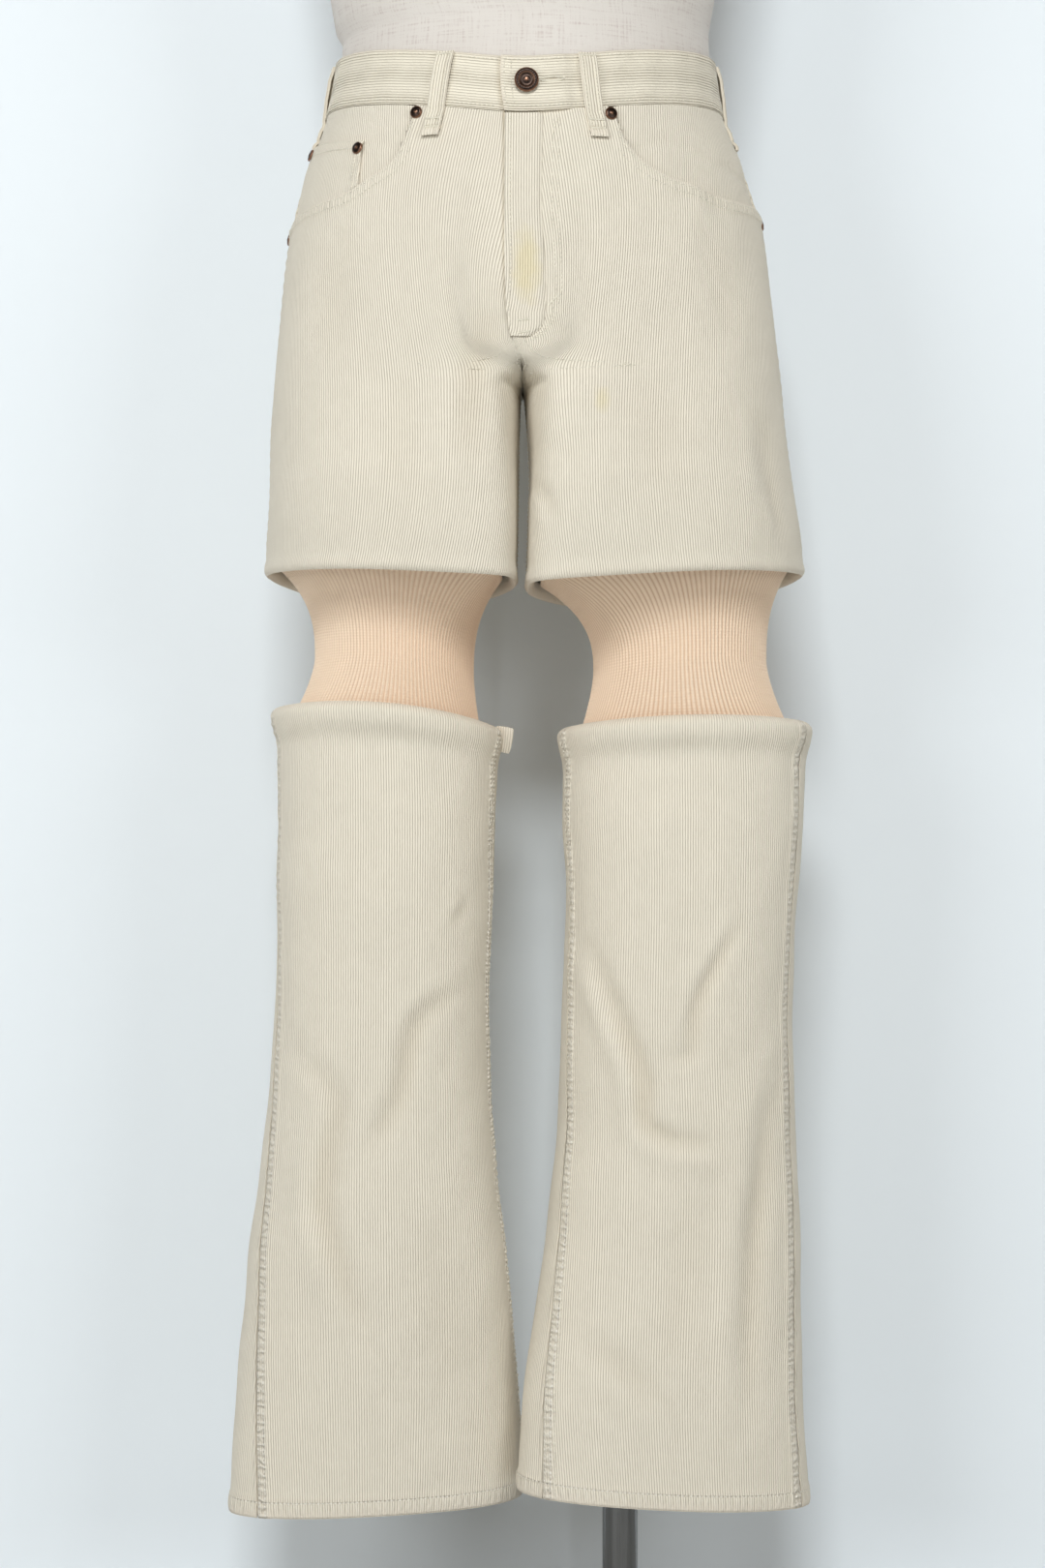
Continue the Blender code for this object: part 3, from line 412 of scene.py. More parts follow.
FRONT_BOW, FLAT_WIDTH, SEAM_TOP, SEAM_LOW = 1.6, 0.052, 1.000, 0.860
SWING_FROM, SWING_REACH, CORNER_FROM, CORNER_REACH = 0.840, 0.060, 0.850, 0.045
BAND_HEIGHT, BAND_FRONT_TOP, BAND_SIDE_RISE, BAND_BACK_RISE = 0.038, 1.119, 0.019, 0.009
HALF_BODY = 0.43


def ramp(gone, reach):
    """A value that rises evenly from 0 to 1 over a reach."""
    return np.clip(gone / reach, 0, 1)


def eased(t):
    """A ramp's soft step: it starts and ends level."""
    return t * t * (3 - 2 * t)


def leg_ring(rows, side, share, z, corner=0.0):
    """A point of a leg: a squarish ellipse between its inner and outer edge, at a share of the way
    round from the inner edge by way of the front; the inner edge may swing forward or back, and
    the corner value makes the ring squarer between its inner edge and its front, and then the
    front takes less of the swing towards the crotch."""
    turn = 2 * math.pi * share
    inner, outer = smooth(rows, "inner", z), smooth(rows, "outer", z)
    depth = np.where(np.sin(turn) > 0, smooth(rows, "front", z), smooth(rows, "back", z))
    power = 2.25 + corner * np.clip(np.cos(turn), 0, 1) * (np.sin(turn) > 0)
    square = (np.abs(np.cos(turn)) ** power + np.abs(np.sin(turn)) ** power) ** (-1 / power)
    x = side * ((inner + outer) / 2 - (outer - inner) / 2 * square * np.cos(turn))
    only_inside = 1 + 2 * ramp(z - SWING_FROM, SWING_REACH) * (np.sin(turn) > 0) * (corner > 0)
    y = smooth(rows, "swing", z) * (0.5 + 0.5 * np.cos(turn)) ** only_inside
    return joined(x, y - depth * square * np.sin(turn), z + 0 * x)


def round_edge(edge, share):
    """Height of an edge round a leg, blended by cosine from its inner, outer, front and back."""
    turn = 2 * math.pi * share
    half = (edge.inner + edge.outer) / 2
    lift = (edge.front - half) * np.clip(np.sin(turn), 0, 1) ** 2
    lift = lift + (edge.back - half) * np.clip(-np.sin(turn), 0, 1) ** 2
    return half + (edge.inner - edge.outer) / 2 * np.cos(turn) + lift


def upper_form(leg, share, z):
    """The outline from waist to knee: the hip ring and the leg's ring, blended by height. At the
    middle of the back the blend is a quarter of an ellipse, which makes the seat's curve, at the
    middle of the front a short soft step over the crotch, and further out a long one. Low down the
    cloth beside the front seam is gathered towards it, and just above the crotch it lies flat, on a
    shallow parabola of the width."""
    side = SIDES[leg]
    share, z = np.broadcast_arrays(share, z)
    low = ramp(SEAM_TOP - z, 0.055) ** 2 * ramp(z - SEAM_LOW, 0.040)
    share = share - 0.65 * low * share * np.exp(-((share / 0.065) ** 2))
    rise = ramp(z - HIP_BLEND[0], HIP_BLEND[1] - HIP_BLEND[0])
    ahead = share < 0.5
    near = np.cos(math.pi * share) ** np.where(ahead, 24, 16)
    quick = ramp(z - CROTCH, np.where(ahead, CROTCH_CURVE, SEAT_CURVE))
    quarter = 1 - (1 - quick) ** 2
    spread = ramp(z - CROTCH - CLOSED, CROTCH_SPREAD)
    arc = np.where(ahead, eased(spread), quarter ** (0.5 + 1.5 * (1 - near)))
    blend = (near * arc + (1 - near) * rise * rise * (3 - 2 * rise))[..., None]
    right, left = smooth(HIPS, "right", z), smooth(HIPS, "left", z)
    seam = -0.0005 - 0.0094 * ramp(z - CROTCH, 0.045) ** 0.7
    start = np.degrees(np.arcsin((seam - (left - right) / 2) / ((left + right) / 2)))
    angle = np.where(ahead, start + (side * 90 - start) * 2 * share, side * 180 * share)
    corner = FRONT_CORNER * (1 + ramp(z - CORNER_FROM, CORNER_REACH))
    ring = leg_ring(THIGHS[leg], side, share, z, corner)
    points = (1 - blend) * ring + blend * hip_ring(angle, z)
    flat = hip_ring(start, z)[..., 1] + FRONT_BOW * points[..., 0] ** 2
    close = quarter**0.5 * np.exp(-((points[..., 0] / FLAT_WIDTH) ** 4)) * (share < 0.25)
    points[..., 1] += close * (flat - points[..., 1])
    return points


def band_top(angle):
    """Height of the waistband's upper edge: a dip at the front and a gentle rise to the back."""
    turn = np.radians(angle)
    forward = BAND_SIDE_RISE * (np.hypot(np.sin(turn), 0.15) - 0.15) / 0.861
    behind = BAND_SIDE_RISE + BAND_BACK_RISE * (1 - np.abs(np.sin(turn)))
    return BAND_FRONT_TOP + np.where(np.cos(turn) > 0, forward, behind)


def band_bottom(leg, share):
    """Height of the seam under the waistband."""
    side = SIDES[leg]
    angle = np.where(share < 0.5, -4 + (side * 90 + 4) * 2 * share, side * 180 * share)
    return band_top(angle) - BAND_HEIGHT


def ridge(distance, width):
    """A soft bell of height 1: exp of minus the square of distance over width."""
    return np.exp(-((distance / width) ** 2))


Crease = namedtuple("Crease", "leg face width depth path")
THIGH_CREASES = (
    Crease("right", "front", 0.013, 0.0036, ((-0.022, 0.955), (-0.033, 0.8985), (-0.034, 0.842))),
    Crease("right", "front", 0.018, 0.0012, ((-0.070, 0.905), (-0.078, 0.868), (-0.074, 0.820))),
    Crease("right", "front", 0.016, 0.0012, ((-0.120, 1.010), (-0.128, 0.960), (-0.126, 0.915))),
    Crease("right", "back", 0.010, 0.0040, ((-0.050, 0.850), (-0.094, 0.844), (-0.130, 0.826))),
    Crease("right", "back", 0.007, 0.0022, ((-0.030, 0.900), (-0.060, 0.872), (-0.098, 0.862))),
    Crease("right", "back", 0.014, 0.0020, ((-0.140, 0.930), (-0.150, 0.885), (-0.150, 0.840))),
    Crease("left", "front", 0.004, 0.0009, ((0.012, 0.942), (0.024, 0.936), (0.036, 0.924))),
    Crease("left", "front", 0.005, 0.0018, ((0.008, 0.836), (0.016, 0.822), (0.023, 0.806))),
    Crease("left", "front", 0.006, 0.0014, ((0.118, 1.050), (0.128, 1.035), (0.134, 1.018))),
    Crease("left", "front", 0.012, 0.0012, ((0.128, 1.010), (0.136, 0.970), (0.140, 0.930))),
    Crease("left", "front", 0.018, 0.0012, ((0.075, 0.900), (0.090, 0.862), (0.096, 0.815))),
    Crease("left", "front", 0.007, 0.0018, ((0.161, 0.890), (0.1675, 0.850), (0.1665, 0.800))),
    Crease("left", "front", 0.004, 0.0014, ((0.170, 0.842), (0.1735, 0.820), (0.178, 0.796))),
    Crease("left", "back", 0.010, 0.0040, ((0.050, 0.846), (0.094, 0.843), (0.130, 0.830))),
    Crease("left", "back", 0.007, 0.0020, ((0.028, 0.896), (0.062, 0.874), (0.104, 0.868))),
    Crease("left", "back", 0.014, 0.0022, ((0.146, 0.940), (0.154, 0.890), (0.152, 0.848))),
)


def through(rows, count):
    """A smooth line through a few points: a cubic between each two, as count points that lie at
    even steps of the points' straight distances."""
    rows = np.array(rows, float)
    gone = lengths(rows)
    slope = np.gradient(rows, gone, axis=0)
    at = np.linspace(0, gone[-1], count)
    i = np.clip(np.searchsorted(gone, at) - 1, 0, len(gone) - 2)
    step = (gone[i + 1] - gone[i])[:, None]
    t = (at - gone[i])[:, None] / step
    return bent(t, step, rows[i], rows[i + 1], slope[i], slope[i + 1])


def heading(line):
    """The direction of a line of points at each of them."""
    ahead = np.gradient(line, axis=0)
    return ahead / np.linalg.norm(ahead, axis=1, keepdims=True)


def creased(rows, leg, face, place):
    """Depth of the creases at these points: each is a soft trough along a smooth line across and
    up the leg, with a low ridge on one side, and it fades at both ends."""
    depth = np.zeros(place.shape[:-1])
    t = np.linspace(0, 1, 41)
    for row in rows:
        if row.leg != leg:
            continue
        line = through(row.path, 41)
        gone = place[..., None, ::2] - line
        nearest = np.argmin((gone**2).sum(-1), -1)
        gone = np.take_along_axis(gone, nearest[..., None, None], -2)[..., 0, :]
        forward = heading(line)[nearest]
        across = gone[..., 0] * forward[..., 1] - gone[..., 1] * forward[..., 0]
        beyond = np.abs((gone * forward).sum(-1))
        fade = np.sin(math.pi * np.clip(t[nearest], 0.02, 0.98)) ** 0.7 * ridge(beyond, row.width)
        shape = ridge(across, row.width) - 0.45 * ridge(across - 1.9 * row.width, 0.9 * row.width)
        depth += np.where(face == row.face, row.depth * shape * fade, 0)
    return depth


def both(a, b):
    """Two values or arrays as two arrays of one shape."""
    return np.broadcast_arrays(np.asarray(a, float), np.asarray(b, float))


def skin(form, leg, share, z, out=0.0):
    """Points of a cloth surface: the form, moved out along its own normal."""
    share, z = both(share, z)
    along = form(leg, share + 0.003, z) - form(leg, share - 0.003, z)
    upward = form(leg, share, z + 0.006) - form(leg, share, z - 0.006)
    normal = np.cross(along, upward) * SIDES[leg]
    normal /= np.linalg.norm(normal, axis=-1, keepdims=True)
    return form(leg, share, z) + normal * np.asarray(out)[..., None]


def unrest(place, seed):
    """The slow unevenness of hanging cloth: a few long waves that cross, under a millimetre."""
    x, z = place[..., 0] + place[..., 1], place[..., 2]
    waves = np.sin(62 * z + 9 * x + seed) * np.sin(38 * x + 11 * z + 2 * seed)
    return 0.00045 * waves + 0.0003 * np.sin(95 * z - 40 * x + 3 * seed) * np.sin(71 * x + seed)


def pucker(along, seed):
    """Uneven gathers along a seam, about 8 mm apart: a wave whose pace and height wander."""
    pace = 2 * math.pi * along / 0.0082 + 1.7 * np.sin(along * 61 + seed) + 0.9 * np.sin(along * 23)
    return np.sin(pace) * (0.6 + 0.4 * np.sin(along * 37 + 2 * seed))


def crowded(count, ends=0.8):
    """Steps from 0 to 1 that lie closer together at both ends."""
    t = np.linspace(0, 1, count)
    return t - ends * np.sin(2 * math.pi * t) / (2 * math.pi)


def flat_place(outer, along=False):
    """Where each point lies on the flat cut cloth: the way along its row from the middle column,
    and the way down its column, or the two changed over for a strip cut along the wales."""
    step = np.linalg.norm(np.diff(outer, axis=1), axis=-1)
    u = np.concatenate([0 * step[:, :1], np.cumsum(step, 1)], 1)
    u = u - u[:, outer.shape[1] // 2][:, None]
    step = np.linalg.norm(np.diff(outer, axis=0), axis=-1)
    v = np.concatenate([0 * step[:1], np.cumsum(step, 0)], 0)
    return np.stack([v, u] if along else [u, v], -1)


def grain(form, leg, share, z, middle):
    """The flat place where the wales hang straight: the way round the leg from its grain line, at
    one share of the way round, and the height. At each share it is a parabola of the height, fitted
    to a net of the form's level rings."""
    share, z = np.broadcast_arrays(share, z)
    levels, ring = np.linspace(z.min(), z.max(), 80), np.linspace(share.min(), share.max(), 240)
    points = form(leg, ring[None, :], levels[:, None])
    step = np.linalg.norm(np.diff(points, axis=1), axis=-1)
    gone = np.concatenate([0 * step[:, :1], np.cumsum(step, 1)], 1)
    start = int(np.argmin(np.abs(ring - middle)))
    gone = gone - gone[:, start : start + 1] + np.abs(points[:, start, :1])
    height = (levels - levels.mean()) / (levels[-1] - levels[0])
    curves = np.polynomial.polynomial.polyfit(height, gone, 2)
    height = (z - levels.mean()) / (levels[-1] - levels[0])
    u = sum(np.interp(share, ring, curve) * height**power for power, curve in enumerate(curves))
    return np.stack([u, -z], -1)


def walled(name, outer, wall, uv, marks, wrap=False):
    """A closed cloth wall: the outer grid of points, the same grid moved in by the wall along its
    own normals, and a rim that joins them. marks are values that the material reads at points."""
    rows, columns = outer.shape[:2]
    if wrap:
        across = (np.roll(outer, -1, 1) - np.roll(outer, 1, 1)) / 2
    else:
        across = np.gradient(outer, axis=1)
    normal = np.cross(across, np.gradient(outer, axis=0))
    normal /= np.linalg.norm(normal, axis=-1, keepdims=True)
    inner = outer + wall * normal
    count = rows * columns
    corner = np.arange(count).reshape(rows, columns)
    flat = corner if not wrap else np.arange(rows * (columns + 1)).reshape(rows, columns + 1)
    if wrap:
        corner = np.concatenate([corner, corner[:, :1]], 1)

    def faces(grid, under):
        corners = [grid[1:, :-1], grid[1:, 1:], grid[:-1, 1:], grid[:-1, :-1]]
        quads = np.stack(corners, -1).reshape(-1, 4)
        if wrap:
            rims = [grid[0], grid[-1, ::-1]]
        else:
            rims = [np.concatenate([grid[0], grid[1:, -1], grid[-1, -2::-1], grid[-2::-1, 0]])]
        pairs = [(rim[:-1], rim[1:]) for rim in rims]
        sides = [np.stack([one, two, two + under, one + under], -1) for one, two in pairs]
        return np.concatenate([quads, quads[:, ::-1] + under, *sides])

    mesh = bpy.data.meshes.new(name)
    points = np.concatenate([outer.reshape(-1, 3), inner.reshape(-1, 3)])
    mesh.from_pydata(points.tolist(), [], faces(corner, count).tolist())
    places = np.concatenate([uv.reshape(-1, 2), uv.reshape(-1, 2)])
    loops = places[faces(flat, flat.size).reshape(-1)].reshape(-1)
    mesh.uv_layers.new(name="cloth").data.foreach_set("uv", loops)
    for key, value in marks.items():
        value = np.broadcast_to(value, (rows, columns)).reshape(-1)
        layer = mesh.attributes.new(key, "FLOAT", "POINT")
        layer.data.foreach_set("value", np.concatenate([value, value]))
    return mesh


def thread_path(path, normals, pitch):
    """Even steps along a line of points: their places, the line's direction and the way out."""
    gone = lengths(path)
    at = np.arange(pitch / 2, gone[-1], pitch)
    reads = ((path, at), (path, at + 1e-4), (normals, at))
    place, next_place, up = (
        np.stack([np.interp(where, gone, rows[:, k]) for k in range(3)], -1) for rows, where in reads
    )
    ahead = next_place - place
    ahead /= np.linalg.norm(ahead, axis=1, keepdims=True) + 1e-12
    return place, ahead, up / np.linalg.norm(up, axis=1, keepdims=True)


def stitches(name, lines, pitch=0.0031, length=0.0026, thick=0.00038, crosswise=False):
    """Rows of thread: at each step along each line lies a spindle of six points, its ends sunk in
    the cloth and its middle as thick as the thread. A line is its points and the cloth's normals;
    crosswise stitches lie square to it, as in a bartack."""
    paths = [thread_path(path, normals, pitch) for path, normals in lines]
    spot, ahead, up = (np.concatenate(rows) for rows in zip(*paths))
    beside = np.cross(ahead, up)
    if crosswise:
        ahead, beside = beside, -ahead
    points = [spot - ahead * length / 2 - up * thick * 0.7]
    for part in (-0.22, 0.22):
        middle = spot + ahead * length * part
        points += [middle + way * thick for way in (up, beside, -up, -beside)]
    points.append(spot + ahead * length / 2 - up * thick * 0.7)
    faces = [(0, 1, 2), (0, 2, 3), (0, 3, 4), (0, 4, 1), (9, 6, 5), (9, 7, 6), (9, 8, 7), (9, 5, 8)]
    sides = [(1, 5, 6, 2), (2, 6, 7, 3), (3, 7, 8, 4), (4, 8, 5, 1)]
    many = np.arange(len(spot))[:, None, None] * 10
    three = (np.array(faces)[None] + many).reshape(-1, 3).tolist()
    four = (np.array(sides)[None] + many).reshape(-1, 4).tolist()
    mesh = bpy.data.meshes.new(name)
    mesh.from_pydata(np.stack(points, 1).reshape(-1, 3).tolist(), [], three + four)
    piece(name, merged(mesh, 1e-9), cotton)


def sewn(cloth, *at, lift=0.0):
    """A row of stitches' line: points just over a cloth, and the way out of it there."""
    points = cloth(*at, lift + 0.0001)
    return points, cloth(*at, lift + 0.0021) - points


def tacked(cloth, *at):
    """A bartack's line, which is a few millimetres long: points on a cloth from one end to the
    other, joined straight."""
    points, normals = sewn(cloth, *at)
    t = np.linspace(0, 1, 12)[:, None]
    return points[0] + (points[-1] - points[0]) * t, normals[:1].repeat(12, 0)


def share_at(leg, x, z):
    """The share of the way round a leg's front that lies this far out from the middle plane."""
    shares = np.linspace(0.0, 0.5, 400)
    lines = [SIDES[leg] * upper_form(leg, shares, level)[:, 0] for level in z]
    return np.array([np.interp(out, line, shares) for out, line in zip(x, lines)])


REACH_OF_SEAM, THREAD_WIDTH, STITCH_PITCH, TUCK_PITCH = 20.0, 0.5, 0.0031, 0.0054


def sewn_edge(tree, cloth, attribute, along, rows, band, width):
    """Thread, tucks, groove and stitch lines of a seam, from an attribute that is 1 on the seam and
    falls evenly to 0 at 20 mm. rows are the stitch lines and band the middle of the tucks, in mm."""
    close = node(tree, "ShaderNodeAttribute", attribute_name=attribute).outputs["Fac"]
    away = times_plus(tree, close, -REACH_OF_SEAM, REACH_OF_SEAM)

    def bell(at, wide):
        off = math_node(tree, "DIVIDE", minus(tree, away, at), wide)
        return math_node(tree, "EXPONENT", times(tree, times(tree, off, off), -1.0))

    dash = math_node(tree, "SINE", times(tree, along, 2 * math.pi / STITCH_PITCH))
    dash = clamped(tree, times_plus(tree, dash, 2.0, 1.1))
    line = bell(rows[0], THREAD_WIDTH)
    for row in rows[1:]:
        line = plus(tree, line, bell(row, THREAD_WIDTH))
    uneven = times(tree, noise(tree, cloth, 110.0, 3.0), 9.0)
    turn = plus(tree, times(tree, along, 2 * math.pi / TUCK_PITCH), uneven)
    tuck = times(tree, math_node(tree, "SINE", turn), bell(band, width))
    return times(tree, dash, line), tuck, bell(0.0, 0.9), line


def sheen(shader, weight, roughness, tint):
    """The soft shine of a cloth's raised fibres."""
    shader.inputs["Sheen Weight"].default_value = weight
    shader.inputs["Sheen Roughness"].default_value = roughness
    shader.inputs["Sheen Tint"].default_value = tint


def corduroy(name, light=(0.855, 0.777, 0.645), pitch=0.0018, groove_depth=0.62, waver=0.0004):
    """Cream corduroy: wales are a rounded wave across the cloth, with painted shade in the
    grooves, an uneven nap and soft sheen, rubbed edges, painted shade with some dirt in the
    creases, seam and fold lines and under edges, two yellowed stains, and the stitches and tucks
    of the edges that the piece marks as seam and hem, the tucks with painted shade and highlight."""
    made, tree, shader = principled(name, light, 0.85)
    cloth = node(tree, "ShaderNodeUVMap", uv_map="cloth").outputs[0]
    place = object_place(tree)
    worn = node(tree, "ShaderNodeAttribute", attribute_name="wear").outputs["Fac"]
    soil_and_shade_fac = node(tree, "ShaderNodeAttribute", attribute_name="soil_and_shade").outputs["Fac"]
    u, v, _ = node(tree, "ShaderNodeSeparateXYZ", {0: cloth}).outputs
    streak = node(tree, "ShaderNodeMapping", {"Vector": cloth, "Scale": (900, 60, 1)}).outputs[0]
    nap = noise(tree, streak, 1.0, 4.0, 0.65)
    wander = times(tree, minus(tree, noise(tree, cloth, 45.0), 0.5), waver)
    phase = times(tree, plus(tree, u, wander), math.pi / pitch)
    wale = math_node(tree, "POWER", math_node(tree, "ABSOLUTE", math_node(tree, "SINE", phase)), 0.5)
    patchy = noise(tree, place, 16.0, 4.0, 0.6)
    pile = noise(tree, place, 2300.0, 2.0)
    base = mixed(tree, patchy, tuple(0.95 * c for c in light), tuple(1.04 * c for c in light))
    base = mixed(tree, times(tree, nap, 0.22), base, (0.66, 0.59, 0.46))
    rub = clamped(tree, times(tree, worn, plus(tree, patchy, 0.45)))
    flat = minus(tree, 1.0, times(tree, rub, 0.6))
    groove = times(tree, times_plus(tree, wale, -groove_depth, groove_depth), flat)
    groove = times(tree, groove, times_plus(tree, noise(tree, cloth, 90.0, 3.0), 1.0, 0.5))
    # Painted shade: the grooves between the wales are darkened toward brown, less where the cloth is
    # rubbed.
    base = mixed(tree, clamped(tree, groove), base, (0.40, 0.32, 0.22))
    base = mixed(tree, times(tree, rub, 0.50), base, (0.72, 0.61, 0.50))
    # Painted shade, with some dirt in the creases: the cloth turns darker brown where a piece marks
    # its creases, seam and fold lines, slits and the places under edges.
    soil_and_shade = clamped(tree, times(tree, soil_and_shade_fac, 0.30))
    base = mixed(tree, soil_and_shade, base, (0.52, 0.43, 0.30))
    for stain in STAINS:
        far, size = place, (1 / stain.wide, 20, 1 / stain.high)
        for operation, by in (("SUBTRACT", (stain.x, stain.y, stain.z)), ("MULTIPLY", size)):
            inputs = {0: far, 1: by}
            far = node(tree, "ShaderNodeVectorMath", inputs, operation=operation).outputs[0]
        far = node(tree, "ShaderNodeVectorMath", {0: far}, operation="LENGTH").outputs["Value"]
        ragged = times_plus(tree, noise(tree, place, 130.0, 4.0), 0.9, -0.45)
        near = times(tree, minus(tree, plus(tree, 1.15, ragged), far), 1.3)
        base = mixed(tree, times(tree, clamped(tree, near), stain.strength), base, (0.74, 0.62, 0.32))
    high = plus(tree, times(tree, wale, flat), times(tree, pile, 0.35))
    hem_rows = (HEM_STITCH * 1000,)
    edges = (("seam", v, (1.7, 6.4), 4.2, 3.6, 0.75), ("hem", u, hem_rows, 6.0, 4.5, 0.35))
    for attribute, along, rows, band, width, strength in edges:
        thread, tuck, gap, line = sewn_edge(tree, cloth, attribute, along, rows, band, width)
        tuck = times(tree, tuck, strength)
        high = plus(tree, high, times_plus(tree, tuck, 1.3, thread))
        high = minus(tree, high, times_plus(tree, line, 1.4, gap))
        # Painted shade and painted highlight on the seams and hems: the tucks' hollows and the stitch
        # lines darken, the tucks' crests lighten, and the thread shows its own pale colour.
        dark = times_plus(tree, tuck, -0.30, times(tree, line, 0.35))
        base = mixed(tree, clamped(tree, dark), base, (0.46, 0.37, 0.27))
        pale = times_plus(tree, tuck, 0.35, times(tree, thread, 0.8))
        base = mixed(tree, clamped(tree, pale), base, (0.90, 0.84, 0.75))
    high = plus(tree, high, times(tree, noise(tree, cloth, 260.0, 3.0), 0.6))
    finished(tree, shader, base, height=high, strength=0.9, distance=0.0007)
    sheen(shader, 0.2, 0.45, (1.0, 0.97, 0.9, 1))
    return made


HEM_STITCH = 0.0109
Stain = namedtuple("Stain", "x y z wide high strength")
STAINS = (
    Stain(0.0026, -0.107, 0.977, 0.0105, 0.026, 0.50),
    Stain(0.0535, -0.095, 0.888, 0.006, 0.010, 0.35),
)
cream = corduroy("cream_corduroy")
cotton, tree, shader = principled("cream_thread", (0.74, 0.69, 0.57), 0.75)
spun = noise(tree, object_place(tree), 400.0)
finished(tree, shader, mixed(tree, spun, (0.66, 0.60, 0.48), (0.80, 0.75, 0.64)))

Mouth = namedtuple("Mouth", "share right left")
POCKET_MOUTH = (
    Mouth(0.152, 0.0000, 0.0060),
    Mouth(0.161, 0.0190, 0.0240),
    Mouth(0.169, 0.0300, 0.0310),
    Mouth(0.185, 0.0405, 0.0390),
    Mouth(0.220, 0.0500, 0.0500),
    Mouth(0.262, 0.0600, 0.0565),
    Mouth(0.327, 0.0665, 0.0650),
    Mouth(0.410, 0.0720, 0.0670),
    Mouth(0.500, 0.0790, 0.0680),
)


def mouth_curve(leg, down=0.0, count=120):
    """The pocket's mouth as shares and drops below the waistband, on a smooth line through the
    table, or the same line moved down into the front by a distance square to it."""
    line = through([(row.share * HALF_BODY, getattr(row, leg)) for row in POCKET_MOUTH], count)
    ahead = heading(line)
    return (line[:, 0] - down * ahead[:, 1]) / HALF_BODY, line[:, 1] + down * ahead[:, 0]


def from_mouth(leg, share, drop):
    """Distance on the cloth from the pocket's mouth."""
    x, d = mouth_curve(leg)
    gap = np.hypot(share[..., None] * HALF_BODY - x * HALF_BODY, drop[..., None] - d)
    return gap.min(-1)


def falling(distance, softness):
    """A soft step down from 1 to 0, at distance 0."""
    return 0.5 - 0.5 * np.tanh(distance / softness)


def felled(distance, along, width, height, seed):
    """Relief of a felled seam: the layers under it lift a band beside the seam, which ends in a
    soft step and puckers along its stitches, and the seam itself lies in a narrow groove."""
    raised = height * falling(distance - width, 0.0007)
    gather = 0.0003 * pucker(along, seed) * ridge(distance - 0.55 * width, 0.75 * width)
    return raised + gather - 0.0006 * ridge(distance, 0.0009)


def metres_round(form, leg, share, z):
    """Metres of cloth for one whole share of the way round, at these points."""
    step = form(leg, share + 0.003, z) - form(leg, share - 0.003, z)
    return np.linalg.norm(step, axis=-1) / 0.006


def yoke_seam(leg, share):
    """Height of the seam under the back yoke, lower at the middle of the back than at the side."""
    return band_bottom(leg, share) - 0.030 - 0.034 * (2 * share - 1)


SEAM_GAP, SEAM_SHARE = 0.0003, 0.0004
FELLED, MOUTH_HEM = 0.0072, 0.0078


def thigh_cloth(leg, share, z, lift=0.0):
    """Points of the thigh's outer face: the form, with creases sunk in and felled seams raised at
    the inner leg and the middle of the back, kept smooth where the two legs nearly touch."""
    share, z = both(share, z)
    place = upper_form(leg, share, z)
    face = np.where(share < 0.5, "front", "back")
    reach = metres_round(upper_form, leg, share, z)
    free = ramp(np.abs(place[..., 0]) - 0.0012, 0.010)
    above = ramp(z - CROTCH - 0.03, 0.03)
    fold = creased(THIGH_CREASES, leg, face, place)
    seam = felled(np.minimum(share, 1 - share) * reach, z, FELLED, 0.0007, 1.3 * SIDES[leg])
    seam = seam * np.where(face == "front", free * (1 - above), np.maximum(free, above))
    side = felled(np.abs(share - 0.5) * reach, z, 0.011, 0.0004, 2.1 + SIDES[leg])
    quiet = unrest(place, SIDES[leg]) * np.maximum(free, above)
    return skin(upper_form, leg, share, z, quiet - fold * free + seam + side + lift)


def rim_rows(turn, count):
    """The turned edge's section: distance from the edge and depth, as count rows."""
    return through(turn, count).T


def made_of_cloth(
    name, leg, outer, wall, nodes, uv=None, marks=None, held="hung", on="waistband", stuff=None
):
    """A cloth piece from its outer points: its wall, its flat places and the nodes that it stands
    for."""
    marks = {"wear": 0.0, "soil_and_shade": 0.0} | (marks or {})
    marks = {key: np.broadcast_to(value, outer.shape[:2]) for key, value in marks.items()}
    uv = flat_place(outer) if uv is None else uv
    if leg == "right":
        outer, uv = outer[:, ::-1], uv[:, ::-1]
        marks = {key: value[:, ::-1] for key, value in marks.items()}
    made = piece(name, walled(name, outer, wall, uv, marks), stuff or cream)
    made.data.set_sharp_from_angle(angle=math.radians(60))
    if nodes:
        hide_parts(*nodes)


THIGH_TURN = (
    (0.012, 0.0),
    (0.0012, 0.0001),
    (0.0, 0.0012),
    (0.0008, 0.0028),
    (0.004, 0.0052),
    (0.009, 0.0066),
)
WALL = 0.002


